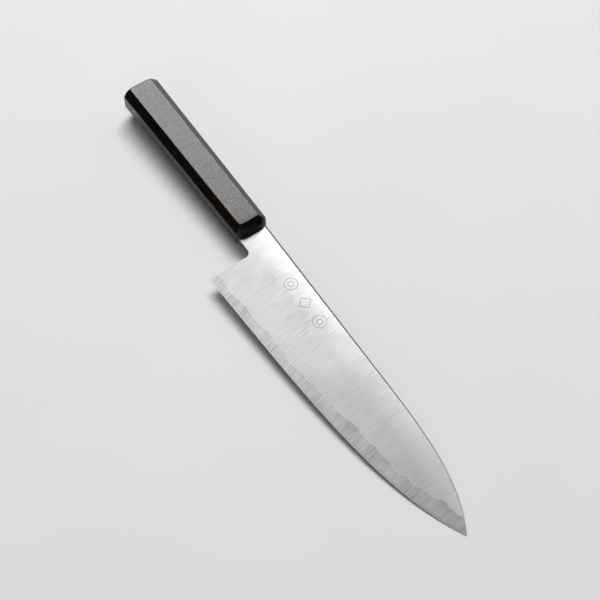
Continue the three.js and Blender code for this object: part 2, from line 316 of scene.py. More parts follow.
class Graph:
    """Builds the nodes of one material."""

    def __init__(self, name: str) -> None:
        """Starts a material with a Principled shader.

        Args:
            name: Name of the material.
        """
        self.material = bpy.data.materials.new(name)
        self.material.use_nodes = True
        self.tree = self.material.node_tree
        self.shader = self.tree.nodes["Principled BSDF"]

    def add(
        self, kind: str, inputs: dict[str | int, object] | None = None, **settings: object
    ) -> bpy.types.Node:
        """Adds a node.

        Args:
            kind: Type name of the node.
            inputs: For each input, a value or the output socket that feeds it.
            settings: Properties of the node.

        Returns:
            The node.
        """
        node = self.tree.nodes.new(kind)
        for key, value in settings.items():
            setattr(node, key, value)
        for key, value in (inputs or {}).items():
            self.feed(node.inputs[key], value)
        return node

    def feed(self, socket: Socket, value: object) -> None:
        """Links an output to a socket, or sets the socket's own value.

        Args:
            socket: The input socket.
            value: An output socket, a number or a colour.
        """
        if isinstance(value, Socket):
            self.tree.links.new(value, socket)
        else:
            socket.default_value = value

    def set_shader(self, **values: object) -> None:
        """Sets or feeds the shader's sockets, named with underscores for spaces.

        Args:
            values: Value or output socket for each shader input.
        """
        for key, value in values.items():
            self.feed(self.shader.inputs[key.replace("_", " ")], value)

    def stretched_noise(self, scale: Scale, detail: float, turn: float = 0.0) -> Socket:
        """Noise on the object's own coordinates, turned about Z and then stretched on each axis.

        Args:
            scale: Features per metre along X, Y and Z.
            detail: Octaves of finer noise.
            turn: Angle in radians by which the streaks turn from +X towards -Y.

        Returns:
            The noise, from 0 to 1.
        """
        place = self.add("ShaderNodeTexCoord").outputs["Object"]
        turned = self.add("ShaderNodeMapping", {"Vector": place, "Rotation": (0, 0, turn)})
        turned_place = turned.outputs["Vector"]
        drawn = self.add("ShaderNodeMapping", {"Vector": turned_place, "Scale": scale})
        settings = {"Vector": drawn.outputs["Vector"], "Scale": 1.0, "Detail": detail}
        return self.add("ShaderNodeTexNoise", settings).outputs["Fac"]

    def value_on_points(self, name: str) -> Socket:
        """The number that a mesh carries on its points under that name."""
        return self.add("ShaderNodeAttribute", attribute_name=name).outputs["Fac"]

    def remap(self, value: Socket, source: Span, target: Span = (0.0, 1.0)) -> Socket:
        """Moves a value from one range to another, held to the ends of the range.

        Args:
            value: The value to move.
            source: Where the value starts and ends.
            target: What it becomes at those ends.

        Returns:
            The new value.
        """
        ends = dict(zip(("From Min", "From Max", "To Min", "To Max"), (*source, *target)))
        return self.add("ShaderNodeMapRange", {"Value": value, **ends}).outputs["Result"]

    def blend(self, share: Socket, low: Colour | Socket, high: Colour | Socket) -> Socket:
        """Mixes two colours.

        Args:
            share: How much of the second colour shows.
            low: First colour.
            high: Second colour.

        Returns:
            The mixed colour.
        """
        node = self.add("ShaderNodeMix", data_type="RGBA")
        colours = [socket for socket in node.inputs if socket.type == "RGBA"]
        self.feed(node.inputs["Factor"], share)
        for socket, colour in zip(colours, (low, high)):
            self.feed(socket, colour if isinstance(colour, Socket) else (*colour, 1.0))
        return next(socket for socket in node.outputs if socket.type == "RGBA")

    def combine(self, operation: str, first: Socket | float, second: Socket | float) -> Socket:
        """The result of one arithmetic step on two numbers.

        Args:
            operation: Name of the step, such as ADD.
            first: First number.
            second: Second number.

        Returns:
            The result.
        """
        node = self.add("ShaderNodeMath", operation=operation)
        self.feed(node.inputs[0], first)
        self.feed(node.inputs[1], second)
        return node.outputs[0]

    def weigh(self, first: Socket, second: Socket, share: float) -> Socket:
        """Adds two values, each by its share.

        Args:
            first: First value.
            second: Second value.
            share: Share of the first; the second has the rest.

        Returns:
            first times share plus second times (1 - share).
        """
        part = self.combine("MULTIPLY", first, share)
        rest = self.combine("MULTIPLY", second, 1 - share)
        return self.combine("ADD", part, rest)

    def raise_bumps(self, height: Socket, depth: float, strength: float) -> None:
        """Feeds a height into the shader's normal.

        Args:
            height: Height from 0 to 1.
            depth: Depth of the relief in metres.
            strength: How much of it shows.
        """
        settings = {"Height": height, "Distance": depth, "Strength": strength}
        self.set_shader(Normal=self.add("ShaderNodeBump", settings).outputs["Normal"])


@dataclass(frozen=True)
class CladdingSteel:
    """Soft outer steel with a satin finish drawn across the blade, and a painted highlight along
    its spine.

    Attributes:
        colour: Tint of the clean satin, and of the painted highlight along the spine.
        dull: Tint where the satin is duller and away from the painted highlight.
        weld: Tint of the bright line where the layers meet.
        engraved: Tint in the bottom of the punched marks.
        corner: Painted dark reflection on the spine's eased corner: a dark tint standing in for the
            dark that the corner mirrors.
        roughness: Lowest and highest roughness.
        highlight_band: How far below the spine the painted highlight fades out, in millimetres.
        highlight_gain: How much the painted highlight lightens the satin at the spine.
        unevenness: How much cleaner the lines and clouds make the satin at most.
        weld_width: Heights above the border between which its line fades in, in millimetres.
        weld_roughness: How much rougher the line where the layers meet is.
        turn: Angle in radians between the polishing lines and the blade's depth.
        line_scale: Polishing lines per metre along X, Y and Z.
        cloud_scale: Clouds of duller polish per metre.
        line_share: Share of the lines in the mixture of lines and clouds.
        mixture: Range that the mixture is read over.
        relief: Depth of the polishing lines in metres.
        relief_strength: How much of that relief shows.
    """

    colour: Colour = (0.392, 0.392, 0.389)
    dull: Colour = (0.262, 0.262, 0.26)
    weld: Colour = (0.46, 0.46, 0.457)
    engraved: Colour = (0.13, 0.13, 0.13)
    # Painted dark reflection on the spine's eased corner.
    corner: Colour = (0.06, 0.058, 0.056)
    roughness: Span = (0.42, 0.5)
    # Painted highlight: the satin is tinted lighter over this band below the spine.
    highlight_band: float = 18.0
    highlight_gain: float = 0.65
    unevenness: float = 0.35
    weld_width: Span = (0.42, 0.12)
    weld_roughness: float = 0.15
    turn: float = math.radians(-7)
    line_scale: Scale = (2300, 80, 300)
    cloud_scale: Scale = (28, 34, 34)
    line_share: float = 0.65
    mixture: Span = (0.36, 0.64)
    relief: float = 0.00002
    relief_strength: float = 0.25

    def material(self) -> bpy.types.Material:
        """Satin lines across the blade, slow clouds, painted light and shade at the spine, a bright
        weld line and dark marks.

        Returns:
            The finished material.
        """
        graph = Graph("satin_cladding_steel")
        lines = graph.stretched_noise(self.line_scale, detail=4.0, turn=self.turn)
        clouds = graph.stretched_noise(self.cloud_scale, detail=4.0)
        mixed = graph.weigh(lines, clouds, self.line_share)
        uneven = graph.remap(mixed, self.mixture, (0.0, self.unevenness))
        depth = graph.value_on_points("below_spine")
        # Painted highlight: the satin is tinted lighter towards the spine, where the face mirrors
        # more light.
        spine_highlight = graph.remap(depth, (self.highlight_band, 0.0), (0.0, self.highlight_gain))
        satin = graph.blend(graph.combine("ADD", uneven, spine_highlight), self.dull, self.colour)
        line = graph.remap(graph.value_on_points("above_weld"), self.weld_width)
        lined = graph.blend(line, satin, self.weld)
        # Painted dark reflection: the spine's eased corner is tinted dark.
        corner_shaded = graph.blend(graph.value_on_points("on_corner"), lined, self.corner)
        marked = graph.blend(graph.value_on_points("engraved"), corner_shaded, self.engraved)
        satin_roughness = graph.remap(mixed, self.mixture, self.roughness[::-1])
        line_roughness = graph.combine("MULTIPLY", line, self.weld_roughness)
        roughness = graph.combine("ADD", satin_roughness, line_roughness)
        graph.set_shader(Base_Color=marked, Metallic=1.0, Roughness=roughness)
        graph.raise_bumps(lines, self.relief, self.relief_strength)
        return graph.material


@dataclass(frozen=True)
class CoreSteel:
    """Hard core steel, greyer and scratched across the edge, with a painted highlight on its
    cutting bevel.

    Attributes:
        colour: Tint of the cleaner streaks.
        dull: Tint between them.
        bevel: Painted highlight on the cutting bevel: a light tint standing in for the light that
            it mirrors.
        bevel_highlight_fade: Heights above the edge between which that painted highlight fades in,
            in millimetres.
        roughness: Lowest and highest roughness.
        turn: Angle in radians between the scratches and the blade's depth.
        scratch_scale: Scratches per metre along X, Y and Z.
        cloud_scale: Clouds of finer scratches per metre.
        scratch_share: Share of the scratches in the mixture of scratches and clouds.
        mixture: Range that the mixture is read over.
        relief: Depth of the scratches in metres.
        relief_strength: How much of that relief shows.
    """

    colour: Colour = (0.325, 0.325, 0.325)
    dull: Colour = (0.195, 0.195, 0.197)
    # Painted highlight on the cutting bevel.
    bevel: Colour = (0.5, 0.48, 0.45)
    bevel_highlight_fade: Span = (0.66, 0.48)
    roughness: Span = (0.42, 0.52)
    turn: float = math.radians(-14)
    scratch_scale: Scale = (2100, 70, 400)
    cloud_scale: Scale = (60, 80, 80)
    scratch_share: float = 0.7
    mixture: Span = (0.34, 0.66)
    relief: float = 0.00003
    relief_strength: float = 0.35

    def material(self) -> bpy.types.Material:
        """Close scratches across the edge over slow clouds, and a painted highlight on the bevel by
        its height.

        Returns:
            The finished material.
        """
        graph = Graph("ground_core_steel")
        scratches = graph.stretched_noise(self.scratch_scale, detail=4.0, turn=self.turn)
        clouds = graph.stretched_noise(self.cloud_scale, detail=3.0)
        mixed = graph.weigh(scratches, clouds, self.scratch_share)
        ground = graph.blend(graph.remap(mixed, self.mixture), self.dull, self.colour)
        # Painted highlight: the bevel is tinted lighter by its height above the edge.
        bevel_highlight = graph.remap(graph.value_on_points("above_edge"), self.bevel_highlight_fade)
        colour = graph.blend(bevel_highlight, ground, self.bevel)
        roughness = graph.remap(mixed, self.mixture, self.roughness[::-1])
        graph.set_shader(Base_Color=colour, Metallic=1.0, Roughness=roughness)
        graph.raise_bumps(scratches, self.relief, self.relief_strength)
        return graph.material


@dataclass(frozen=True)
class DarkWood:
    """Very dark, dense hardwood, oiled to a satin sheen.

    Attributes:
        dark: Tint of the ground.
        figure: Tint of the warm growth streaks.
        pore: Tint inside the pores.
        arris_glint: Painted highlight on the long arrises: a thin tan tint standing in for the
            light that they catch.
        roughness: Lowest and highest roughness.
        sheen_level: Strength of the oiled surface's reflection.
        streak_scale: Growth streaks per metre along X, Y and Z.
        fibre_scale: Fibres per metre.
        pore_scale: Pores per metre.
        streak_span: Streak noise between which the warm figure fades in.
        fibre_span: Fibre noise between which it does.
        pore_span: Pore noise between which a pore opens.
        patch_span: Streak noise between which the painted highlight on the arrises grows.
        patch_glint: Least and most of that painted highlight.
        fibre_dryness: How much the fibres add to the roughness at most.
        pore_dryness: How much a pore adds to it.
        relief: Depth of the fibres and pores in metres.
        relief_strength: How much of that relief shows.
    """

    dark: Colour = (0.0042, 0.0037, 0.0035)
    figure: Colour = (0.036, 0.018, 0.013)
    pore: Colour = (0.002, 0.0018, 0.0017)
    # Painted highlight: a thin tan tint on the long arrises.
    arris_glint: Colour = (0.3, 0.2, 0.13)
    roughness: Span = (0.17, 0.37)
    sheen_level: float = 0.41
    streak_scale: Scale = (40, 800, 800)
    fibre_scale: Scale = (620, 2000, 2000)
    pore_scale: Scale = (500, 1900, 1900)
    streak_span: Span = (0.52, 0.68)
    fibre_span: Span = (0.46, 0.6)
    pore_span: Span = (0.6, 0.68)
    patch_span: Span = (0.3, 0.5)
    patch_glint: Span = (0.4, 1.0)
    fibre_dryness: float = 0.8
    pore_dryness: float = 0.9
    relief: float = 0.00003
    relief_strength: float = 0.12

    def material(self) -> bpy.types.Material:
        """Long growth streaks and short fine pores along the handle, and a painted highlight on its
        long arrises.

        Returns:
            The finished material.
        """
        graph = Graph("oiled_dark_wood")
        streaks = graph.stretched_noise(self.streak_scale, detail=4.0)
        fibres = graph.stretched_noise(self.fibre_scale, detail=4.0)
        pores = graph.stretched_noise(self.pore_scale, detail=2.0)
        streaked = graph.remap(streaks, self.streak_span)
        figure = graph.combine("MULTIPLY", streaked, graph.remap(fibres, self.fibre_span))
        ground = graph.blend(figure, self.dark, self.figure)
        pore = graph.remap(pores, self.pore_span)
        pored = graph.blend(pore, ground, self.pore)
        # Painted highlight on the long arrises, patchy along the streaks.
        patchy = graph.remap(streaks, self.patch_span, self.patch_glint)
        glint_strength = graph.combine("MULTIPLY", graph.value_on_points("arris"), patchy)
        colour = graph.blend(glint_strength, pored, self.arris_glint)
        dry_pore = graph.combine("MULTIPLY", pore, self.pore_dryness)
        dry_fibre = graph.remap(fibres, CLOUD_SPAN, (0.0, self.fibre_dryness))
        dry = graph.combine("MAXIMUM", dry_pore, dry_fibre)
        roughness = graph.remap(dry, (0.0, 1.0), self.roughness)
        graph.set_shader(
            Base_Color=colour, Roughness=roughness, Specular_IOR_Level=self.sheen_level
        )
        height = graph.combine("SUBTRACT", graph.combine("MULTIPLY", fibres, 0.5), pore)
        graph.raise_bumps(height, self.relief, self.relief_strength)
        return graph.material


@dataclass(frozen=True)
class Resin:
    """Hard resin, slightly uneven in tone.

    Attributes:
        name: Name of the material.
        colour: Its tint.
        deep: Its tint where it is thicker.
        roughness: How satin it is.
        cloud_scale: Clouds of deeper tone per metre.
        relief: Depth of its ripples in metres.
        relief_strength: How much of that relief shows.
    """

    name: str
    colour: Colour
    deep: Colour
    roughness: float = 0.4
    cloud_scale: Scale = (260, 260, 260)
    relief: float = 0.00005
    relief_strength: float = 0.2

    def material(self) -> bpy.types.Material:
        """Slow cloudy tone with a slightly rippled surface.

        Returns:
            The finished material.
        """
        graph = Graph(self.name)
        clouds = graph.stretched_noise(self.cloud_scale, detail=3.0)
        colour = graph.blend(graph.remap(clouds, CLOUD_SPAN), self.deep, self.colour)
        graph.set_shader(Base_Color=colour, Roughness=self.roughness)
        graph.raise_bumps(clouds, self.relief, self.relief_strength)
        return graph.material


@dataclass(frozen=True)
class BladeShape:
    """Outline and thickness of the blade, its neck and its tang, in millimetres and radians.

    Attributes:
        handle_height: Height of the handle's front, which the spine and neck are set in from.
        neck_length: Front of the handle to the heel line.
        edge_reach: Heel line to the tip.
        heel_depth: Handle's axis down to the edge at the heel.
        tip_depth: Handle's axis down to the tip.
        spine_inset: How far the spine lies inside the handle's upper side.
        spine_straight: Length of the straight part of the spine.
        spine_fall: How far the straight part comes down.
        spine_lead: How far the spine's curve is drawn out from the straight part.
        spine_tip_lead: How far it is drawn out from the tip.
        spine_tip_angle: How steeply the spine comes down at the tip.
        edge_heel_angle: How steeply the edge rises at the heel.
        edge_lead: How far the edge's curve is drawn out from the heel.
        edge_tip_lead: How far it is drawn out from the tip.
        edge_tip_angle: How steeply the edge rises at the tip.
        neck_inset: How far the neck's lower side lies inside the handle's.
        neck_fillet: Radius between the neck and the heel line.
        neck_thickness: Thickness of the neck.
        tip_thickness: What the spine would come down to at the tip.
        tip_taper: Length over which the tip then fades to nothing.
        distal_power: How late the spine thins on the way to the tip.
        grind_power: How convex the faces are.
        edge_thickness: Thickness just above the cutting bevel.
        bevel_width: Height of the cutting bevel.
        spine_easing: How far down the face the spine's eased corner runs.
        spine_easing_ratio: How far that corner goes in, as a share of how far it runs down.
        spine_easing_share: Largest share of the spine's half thickness that it may take.
        shoulder_x: Where the tang's shoulders lie.
        tang_length: Shoulder to the tang's end.
        tang_root_height: Height of the tang at the shoulder.
        tang_end_height: Its height at its end.
        tang_end_thickness: Its thickness there.
        curve_points: How many points a curve is worked out at.
    """

    handle_height: float = 24.2
    neck_length: float = 12.5
    edge_reach: float = 237.8
    heel_depth: float = 44.3
    tip_depth: float = 15.2
    spine_inset: float = 2.2
    spine_straight: float = 140.0
    spine_fall: float = 3.05
    spine_lead: float = 44.0
    spine_tip_lead: float = 33.5
    spine_tip_angle: float = math.radians(34.2)
    edge_heel_angle: float = math.radians(1.4)
    edge_lead: float = 120.0
    edge_tip_lead: float = 58.0
    edge_tip_angle: float = math.radians(25.1)
    neck_inset: float = 0.9
    neck_fillet: float = 4.5
    neck_thickness: float = 3.0
    tip_thickness: float = 0.3
    tip_taper: float = 6.0
    distal_power: float = 1.5
    grind_power: float = 1.8
    edge_thickness: float = 0.2
    bevel_width: float = 0.6
    spine_easing: float = 1.6
    spine_easing_ratio: float = 0.6
    spine_easing_share: float = 0.68
    shoulder_x: float = -4.0
    tang_length: float = 100.0
    tang_root_height: float = 10.0
    tang_end_height: float = 6.4
    tang_end_thickness: float = 2.2
    curve_points: int = 4001

    @property
    def tip_x(self) -> float:
        """Where the tip lies along the knife."""
        return self.neck_length + self.edge_reach

    @property
    def neck_depth(self) -> float:
        """How far the neck reaches below the handle's axis."""
        return self.handle_height / 2 - self.neck_inset

    def spine(self, x: np.ndarray) -> np.ndarray:
        """Height of the spine: straight and slightly falling, then one cubic curve down to the tip.

        Args:
            x: Places along the knife.

        Returns:
            The spine's height at each place.
        """
        start = self.handle_height / 2 - self.spine_inset
        slope = -math.atan2(self.spine_fall, self.spine_straight)
        curve = curve_between(
            CurveEnd(self.spine_straight, start - self.spine_fall, slope, self.spine_lead),
            CurveEnd(self.tip_x, -self.tip_depth, -self.spine_tip_angle, self.spine_tip_lead),
            self.curve_points,
        )
        straight = start - self.spine_fall * x / self.spine_straight
        return np.where(x > self.spine_straight, np.interp(x, curve[:, 0], curve[:, 1]), straight)

    def edge(self, x: np.ndarray) -> np.ndarray:
        """Height of the cutting edge: one cubic curve from the heel to the tip.

        Args:
            x: Places along the knife.

        Returns:
            The edge's height at each place, held at the heel's height behind the heel.
        """
        curve = curve_between(
            CurveEnd(self.neck_length, -self.heel_depth, self.edge_heel_angle, self.edge_lead),
            CurveEnd(self.tip_x, -self.tip_depth, self.edge_tip_angle, self.edge_tip_lead),
            self.curve_points,
        )
        return np.interp(x, curve[:, 0], curve[:, 1])

    def spine_half(self, x: np.ndarray) -> np.ndarray:
        """Half the spine's thickness.

        It thins as a power of the way to the tip, and evenly along the tang. Over the last few
        millimetres before the tip it also fades as a square root to nothing.

        Args:
            x: Places along the knife.

        Returns:
            Half the thickness at each place.
        """
        share = np.clip((x - self.neck_length) / self.edge_reach, 0, 1)
        blade = lerp(self.tip_thickness, self.neck_thickness, 1 - share**self.distal_power)
        blade = blade * np.sqrt(np.clip((self.tip_x - x) / self.tip_taper, 0, 1))
        along_tang = (self.shoulder_x - x) / self.tang_length
        tang = lerp(self.neck_thickness, self.tang_end_thickness, along_tang)
        return np.where(x < self.shoulder_x, tang, blade) / 2

    def ground_half(self, x: np.ndarray, rise: np.ndarray) -> np.ndarray:
        """Half the blade's thickness at a height above the edge.

        The cutting bevel widens evenly to the edge thickness. Above it the face is convex: the rest
        of the thickness grows as one minus a power of the distance left to the spine.

        Args:
            x: Places along the knife.
            rise: Heights above the edge at those places.

        Returns:
            Half the thickness at each place.
        """
        width = self.spine(np.maximum(x, self.neck_length)) - self.edge(x)
        bevel = np.maximum(np.minimum(self.bevel_width, width / 3), TINY)
        edge_half = np.minimum(self.edge_thickness / 2, self.spine_half(x))
        share = np.clip((rise - bevel) / np.maximum(width - bevel, TINY), 0, 1)
        body = lerp(edge_half, self.spine_half(x), 1 - (1 - share) ** self.grind_power)
        return np.where(rise < bevel, edge_half * np.clip(rise / bevel, 0, 1), body)

    def easing(self, x: np.ndarray) -> np.ndarray:
        """How far down the face the spine's eased corner runs.

        It takes no more than its share of the spine's half thickness and a sixth of the blade's
        depth, and there is none on the tang.

        Args:
            x: Places along the knife.

        Returns:
            The corner's run at each place.
        """
        room = self.spine_easing_share * self.spine_half(x) / self.spine_easing_ratio
        run = np.minimum(np.minimum(self.spine_easing, room), (self.spine(x) - self.edge(x)) / 6)
        return np.where(x < self.shoulder_x, 0.0, run)


@dataclass(frozen=True)
class WeldLine:
    """The forged border where the core comes out from under the cladding.

    Attributes:
        rise_at_heel: Usual height of the border above the edge at the heel, in millimetres.
        rise_at_tip: The same near the tip.
        reach: Length over which it goes from one to the other.
        steps: How many hammered steps there are along the border.
        step_height: Furthest that a step stands off the usual height, near the tip.
        step_calm: What share of that height the steps have at the heel.
        step_length: Shortest and longest step.
        softening: Length over which the hammered steps are eased.
        tremor: Height of the fine unevenness.
        tremor_lengths: Lengths of the waves that make it up.
        seed: Seed of the steps and of that unevenness.
        spacing: Distance between the places where the border is worked out.
    """

    rise_at_heel: float = 6.8
    rise_at_tip: float = 10.6
    reach: float = 230.0
    steps: int = 17
    step_height: float = 2.4
    step_calm: float = 0.3
    step_length: Span = (7.0, 17.0)
    softening: float = 1.6
    tremor: float = 0.32
    tremor_lengths: tuple[float, ...] = (9.7, 6.1, 4.3, 2.9, 2.1, 1.6)
    seed: int = 11
    spacing: float = 0.1

    def rise(self, x_from_heel: np.ndarray) -> np.ndarray:
        """Height of the border above the edge.

        The usual height eases from the heel's to the tip's. Each hammered step adds a flat-topped
        ramp: its height times 2 (1 - distance from its middle / half its length), held from 0 to 1.
        A moving average eases the steps, and a sum of short sine waves with random phases adds the
        tremor.

        Args:
            x_from_heel: Places, measured from the heel.

        Returns:
            The border's height above the edge at each place.
        """
        rng = np.random.default_rng(self.seed)
        fine = np.arange(-10, self.reach + 30, self.spacing)
        share = np.clip(fine / self.reach, 0, 1)
        usual = lerp(self.rise_at_heel, self.rise_at_tip, share * share * (3 - 2 * share))
        places = np.arange(self.steps) + rng.uniform(0.1, 0.9, self.steps)
        middles = self.reach * places / self.steps
        halves = rng.uniform(*self.step_length, self.steps) / 2
        stand_off = rng.uniform(-1, 1, self.steps) * self.step_height
        stand_off *= lerp(self.step_calm, 1, middles / self.reach)
        ramps = np.clip(2 * (1 - np.abs(fine[:, None] - middles) / halves), 0, 1) @ stand_off
        window = np.hanning(int(2 * self.softening / self.spacing) + 1)
        padded = np.pad(usual + ramps, len(window) // 2, mode="edge")
        eased = np.convolve(padded, window / window.sum(), mode="valid")
        lengths = np.array(self.tremor_lengths)
        phases = rng.uniform(0, 2 * math.pi, len(lengths))
        weights = lengths / lengths.sum()
        waves = np.sin(2 * math.pi * fine[:, None] / lengths + phases) @ weights
        return np.interp(x_from_heel, fine, eased + 2 * self.tremor * waves)


@dataclass(frozen=True)
class PunchedMark:
    """One plain figure punched into the blade near its spine.

    Attributes:
        shape: Which figure it is.
        x: Its middle along the knife.
        y: Its middle's height.
        radius: Half its size.
    """

    shape: MarkShape
    x: float
    y: float
    radius: float

    def distance(self, x: np.ndarray, y: np.ndarray) -> np.ndarray:
        """Distance from points of the face to the figure's line.

        Args:
            x: Places along the knife.
            y: Heights at those places.

        Returns:
            The distance in millimetres.
        """
        across, up = np.abs(x - self.x), np.abs(y - self.y)
        if self.shape is MarkShape.RING:
            return np.abs(np.hypot(across, up) - self.radius)
        return np.abs(across + up - self.radius) / math.sqrt(2)


@dataclass(frozen=True)
class Engraving:
    """The row of plain marks on the right face.

    Attributes:
        marks: The figures.
        width: Width of the punched line.
        depth: Its depth.
        margin: Length of closer sections before and after the marks.
    """

    marks: tuple[PunchedMark, ...] = (
        PunchedMark(MarkShape.RING, 46.5, -2.6, 4.6),
        PunchedMark(MarkShape.RING, 46.5, -2.6, 2.0),
        PunchedMark(MarkShape.LOZENGE, 63.5, -2.9, 4.6),
        PunchedMark(MarkShape.RING, 80.5, -3.3, 4.6),
        PunchedMark(MarkShape.RING, 80.5, -3.3, 2.0),
    )
    width: float = 0.4
    depth: float = 0.06
    margin: float = 1.0

    @property
    def reach(self) -> Span:
        """Where along the knife the closer sections start and end.

        Returns:
            The two places, with the margin before the first mark and after the last.
        """
        start = min(mark.x - mark.radius for mark in self.marks)
        end = max(mark.x + mark.radius for mark in self.marks)
        return start - self.margin, end + self.margin

    def fill(self, x: np.ndarray, y: np.ndarray) -> np.ndarray:
        """How deep in a punched line each point lies, from 0 outside to 1 in its middle.

        Args:
            x: Places along the knife.
            y: Heights at those places.

        Returns:
            One minus the square of the distance over half the line's width, and never below zero.
        """
        nearest = np.min([mark.distance(x, y) for mark in self.marks], axis=0)
        return np.clip(1 - (2 * nearest / self.width) ** 2, 0, 1)


@dataclass(frozen=True)
class Stations:
    """Sections along the knife: where each lies and the heights that its rows start from.

    Attributes:
        x: Places along the knife.
        edge: Height of the cutting edge, or the lower side of the neck or tang.
        weld: Height of the border of the core, or that same lower side.
        join: Height where the rows of the neck begin.
        low: Height of the row that becomes the tang's lower side.
        high: Height of the row that becomes its upper side.
        top: Height of the spine, or the tang's upper side.
        easing: How far down the face the spine's eased corner runs.
    """

    x: np.ndarray
    edge: np.ndarray
    weld: np.ndarray
    join: np.ndarray
    low: np.ndarray
    high: np.ndarray
    top: np.ndarray
    easing: np.ndarray


@dataclass(frozen=True)
class BladeLayout:
    """Lays the sections of all three layers along the knife, so that the layers share their border.

    Attributes:
        shape: The blade's outline and thickness.
        weld_line: The forged border.
        engraving: The marks, which need closer sections.
        blade_step: Distance between sections.
        fine_step: Distance between them across the marks.
        tip_run: Length before the tip over which they draw closer together.
        tip_sections: How many sections there are on that length.
        tip_crowding: Power by which they draw closer.
        neck_sections: How many sections the level part of the neck has.
        fillet_sections: How many the round behind the heel has.
        tang_sections: How many the tang has.
        shortest_run: Least distance from a section to the cladding's end.
        layer_gap: Clearance between the layers under the cladding.
    """

    shape: BladeShape
    weld_line: WeldLine
    engraving: Engraving
    blade_step: float = 0.5
    fine_step: float = 0.17
    tip_run: float = 8.0
    tip_sections: int = 33
    tip_crowding: float = 1.3
    neck_sections: int = 6
    fillet_sections: int = 9
    tang_sections: int = 13
    shortest_run: float = 0.05
    layer_gap: float = 0.012

    def blade_places(self) -> np.ndarray:
        """Places from the heel to the tip, closer across the marks and towards the tip.

        Returns:
            The places in order, both ends included.
        """
        heel, tip = self.shape.neck_length, self.shape.tip_x
        start, end = self.engraving.reach
        runs = [
            (heel, start, self.blade_step),
            (start, end, self.fine_step),
            (end, tip - self.tip_run, self.blade_step),
        ]
        spans = [
            np.linspace(low, high, math.ceil((high - low) / step), endpoint=False)
            for low, high, step in runs
        ]
        left = 1 - np.linspace(0, 1, self.tip_sections)
        return np.concatenate([*spans, tip - self.tip_run * left**self.tip_crowding])

    def border_rise(self, x: np.ndarray) -> np.ndarray:
        """Height of the weld line above the edge at places along the knife."""
        return self.weld_line.rise(x - self.shape.neck_length)

    def cladding_end(self) -> float:
        """Where the weld line runs out into the spine.

        Returns:
            The first place at which the blade is narrower than the border's height.
        """
        x = np.linspace(self.shape.tip_x - 60, self.shape.tip_x, 6001)
        narrow = self.shape.spine(x) - self.shape.edge(x) <= self.border_rise(x)
        return float(x[np.argmax(narrow)])

    def core_half(self, x: np.ndarray) -> np.ndarray:
        """Half the thickness of the core under the cladding: what the blade has at the border."""
        held = np.clip(x, self.shape.neck_length, self.cladding_end())
        return self.shape.ground_half(held, self.border_rise(held))

    def neck_places(self) -> tuple[np.ndarray, np.ndarray]:
        """Places along the neck and the heights of its lower side.

        The lower side is level and then turns down a quarter circle to the heel line.

        Returns:
            The places and the heights.
        """
        shape = self.shape
        turn = np.linspace(0, math.pi / 2, self.fillet_sections)
        centre = shape.neck_length - shape.neck_fillet
        level = np.linspace(shape.shoulder_x, centre, self.neck_sections + 1)[:-1]
        x = np.concatenate([level, centre + shape.neck_fillet * np.sin(turn)])
        drop = np.concatenate([np.zeros(len(level)), shape.neck_fillet * (1 - np.cos(turn))])
        return x, -shape.neck_depth - drop

    def row_shares(self) -> tuple[float, float]:
        """Where the tang's lower and upper sides meet the neck.

        Returns:
            The two heights, as shares of the neck's height at the shoulder.
        """
        foot = -self.shape.neck_depth
        span = float(self.shape.spine(np.array(self.shape.shoulder_x))) - foot
        half = self.shape.tang_root_height / 2
        return (-half - foot) / span, (half - foot) / span

    def stations(self, end: float | None = None) -> Stations:
        """Sections of the tang, the neck and the blade, in that order.

        The tang's last section and the neck's first lie at the shoulder, and the neck's last and
        the blade's first at the heel line, so that the steps between them are flat faces.

        Args:
            end: Where the layer ends, or the tip.

        Returns:
            The sections.
        """
        shape = self.shape
        low_share, high_share = self.row_shares()
        shares = np.linspace(0, 1, self.tang_sections)
        tang_x = np.linspace(
            shape.shoulder_x - shape.tang_length, shape.shoulder_x, self.tang_sections
        )
        tang_half = lerp(shape.tang_end_height, shape.tang_root_height, shares) / 2
        neck_x, neck_foot = self.neck_places()
        blade_x = self.blade_places()
        if end is not None:
            blade_x = np.append(blade_x[blade_x < end - self.shortest_run], end)
        edge, spine = shape.edge(blade_x), shape.spine(blade_x)
        weld = np.minimum(edge + self.border_rise(blade_x), spine)
        join_share = (neck_foot[-1] - edge[0]) / (spine[0] - edge[0])
        join = np.maximum(lerp(edge, spine, join_share), lerp(weld, spine, 0.25))
        neck_top = shape.spine(neck_x)
        upper_join = np.concatenate([neck_foot, join])
        upper_top = np.concatenate([neck_top, spine])
        easing = shape.easing(np.concatenate([neck_x, blade_x]))
        return Stations(
            x=np.concatenate([tang_x, neck_x, blade_x]),
            edge=np.concatenate([-tang_half, neck_foot, edge]),
            weld=np.concatenate([-tang_half, neck_foot, weld]),
            join=np.concatenate([-tang_half, neck_foot, join]),
            low=np.concatenate([-tang_half, lerp(upper_join, upper_top, low_share)]),
            high=np.concatenate([tang_half, lerp(upper_join, upper_top, high_share)]),
            top=np.concatenate([tang_half, neck_top, spine]),
            easing=np.concatenate([np.zeros(self.tang_sections), easing]),
        )


def rows_between(low: np.ndarray, high: np.ndarray, count: int) -> np.ndarray:
    """Evenly spaced rows from one height up to, and without, the next.

    Args:
        low: Height of the first row at each section.
        high: Height where the next rows begin.
        count: How many rows.

    Returns:
        Array (sections, count).
    """
    shares = np.arange(count) / count
    return lerp(low[:, None], high[:, None], shares[None, :])


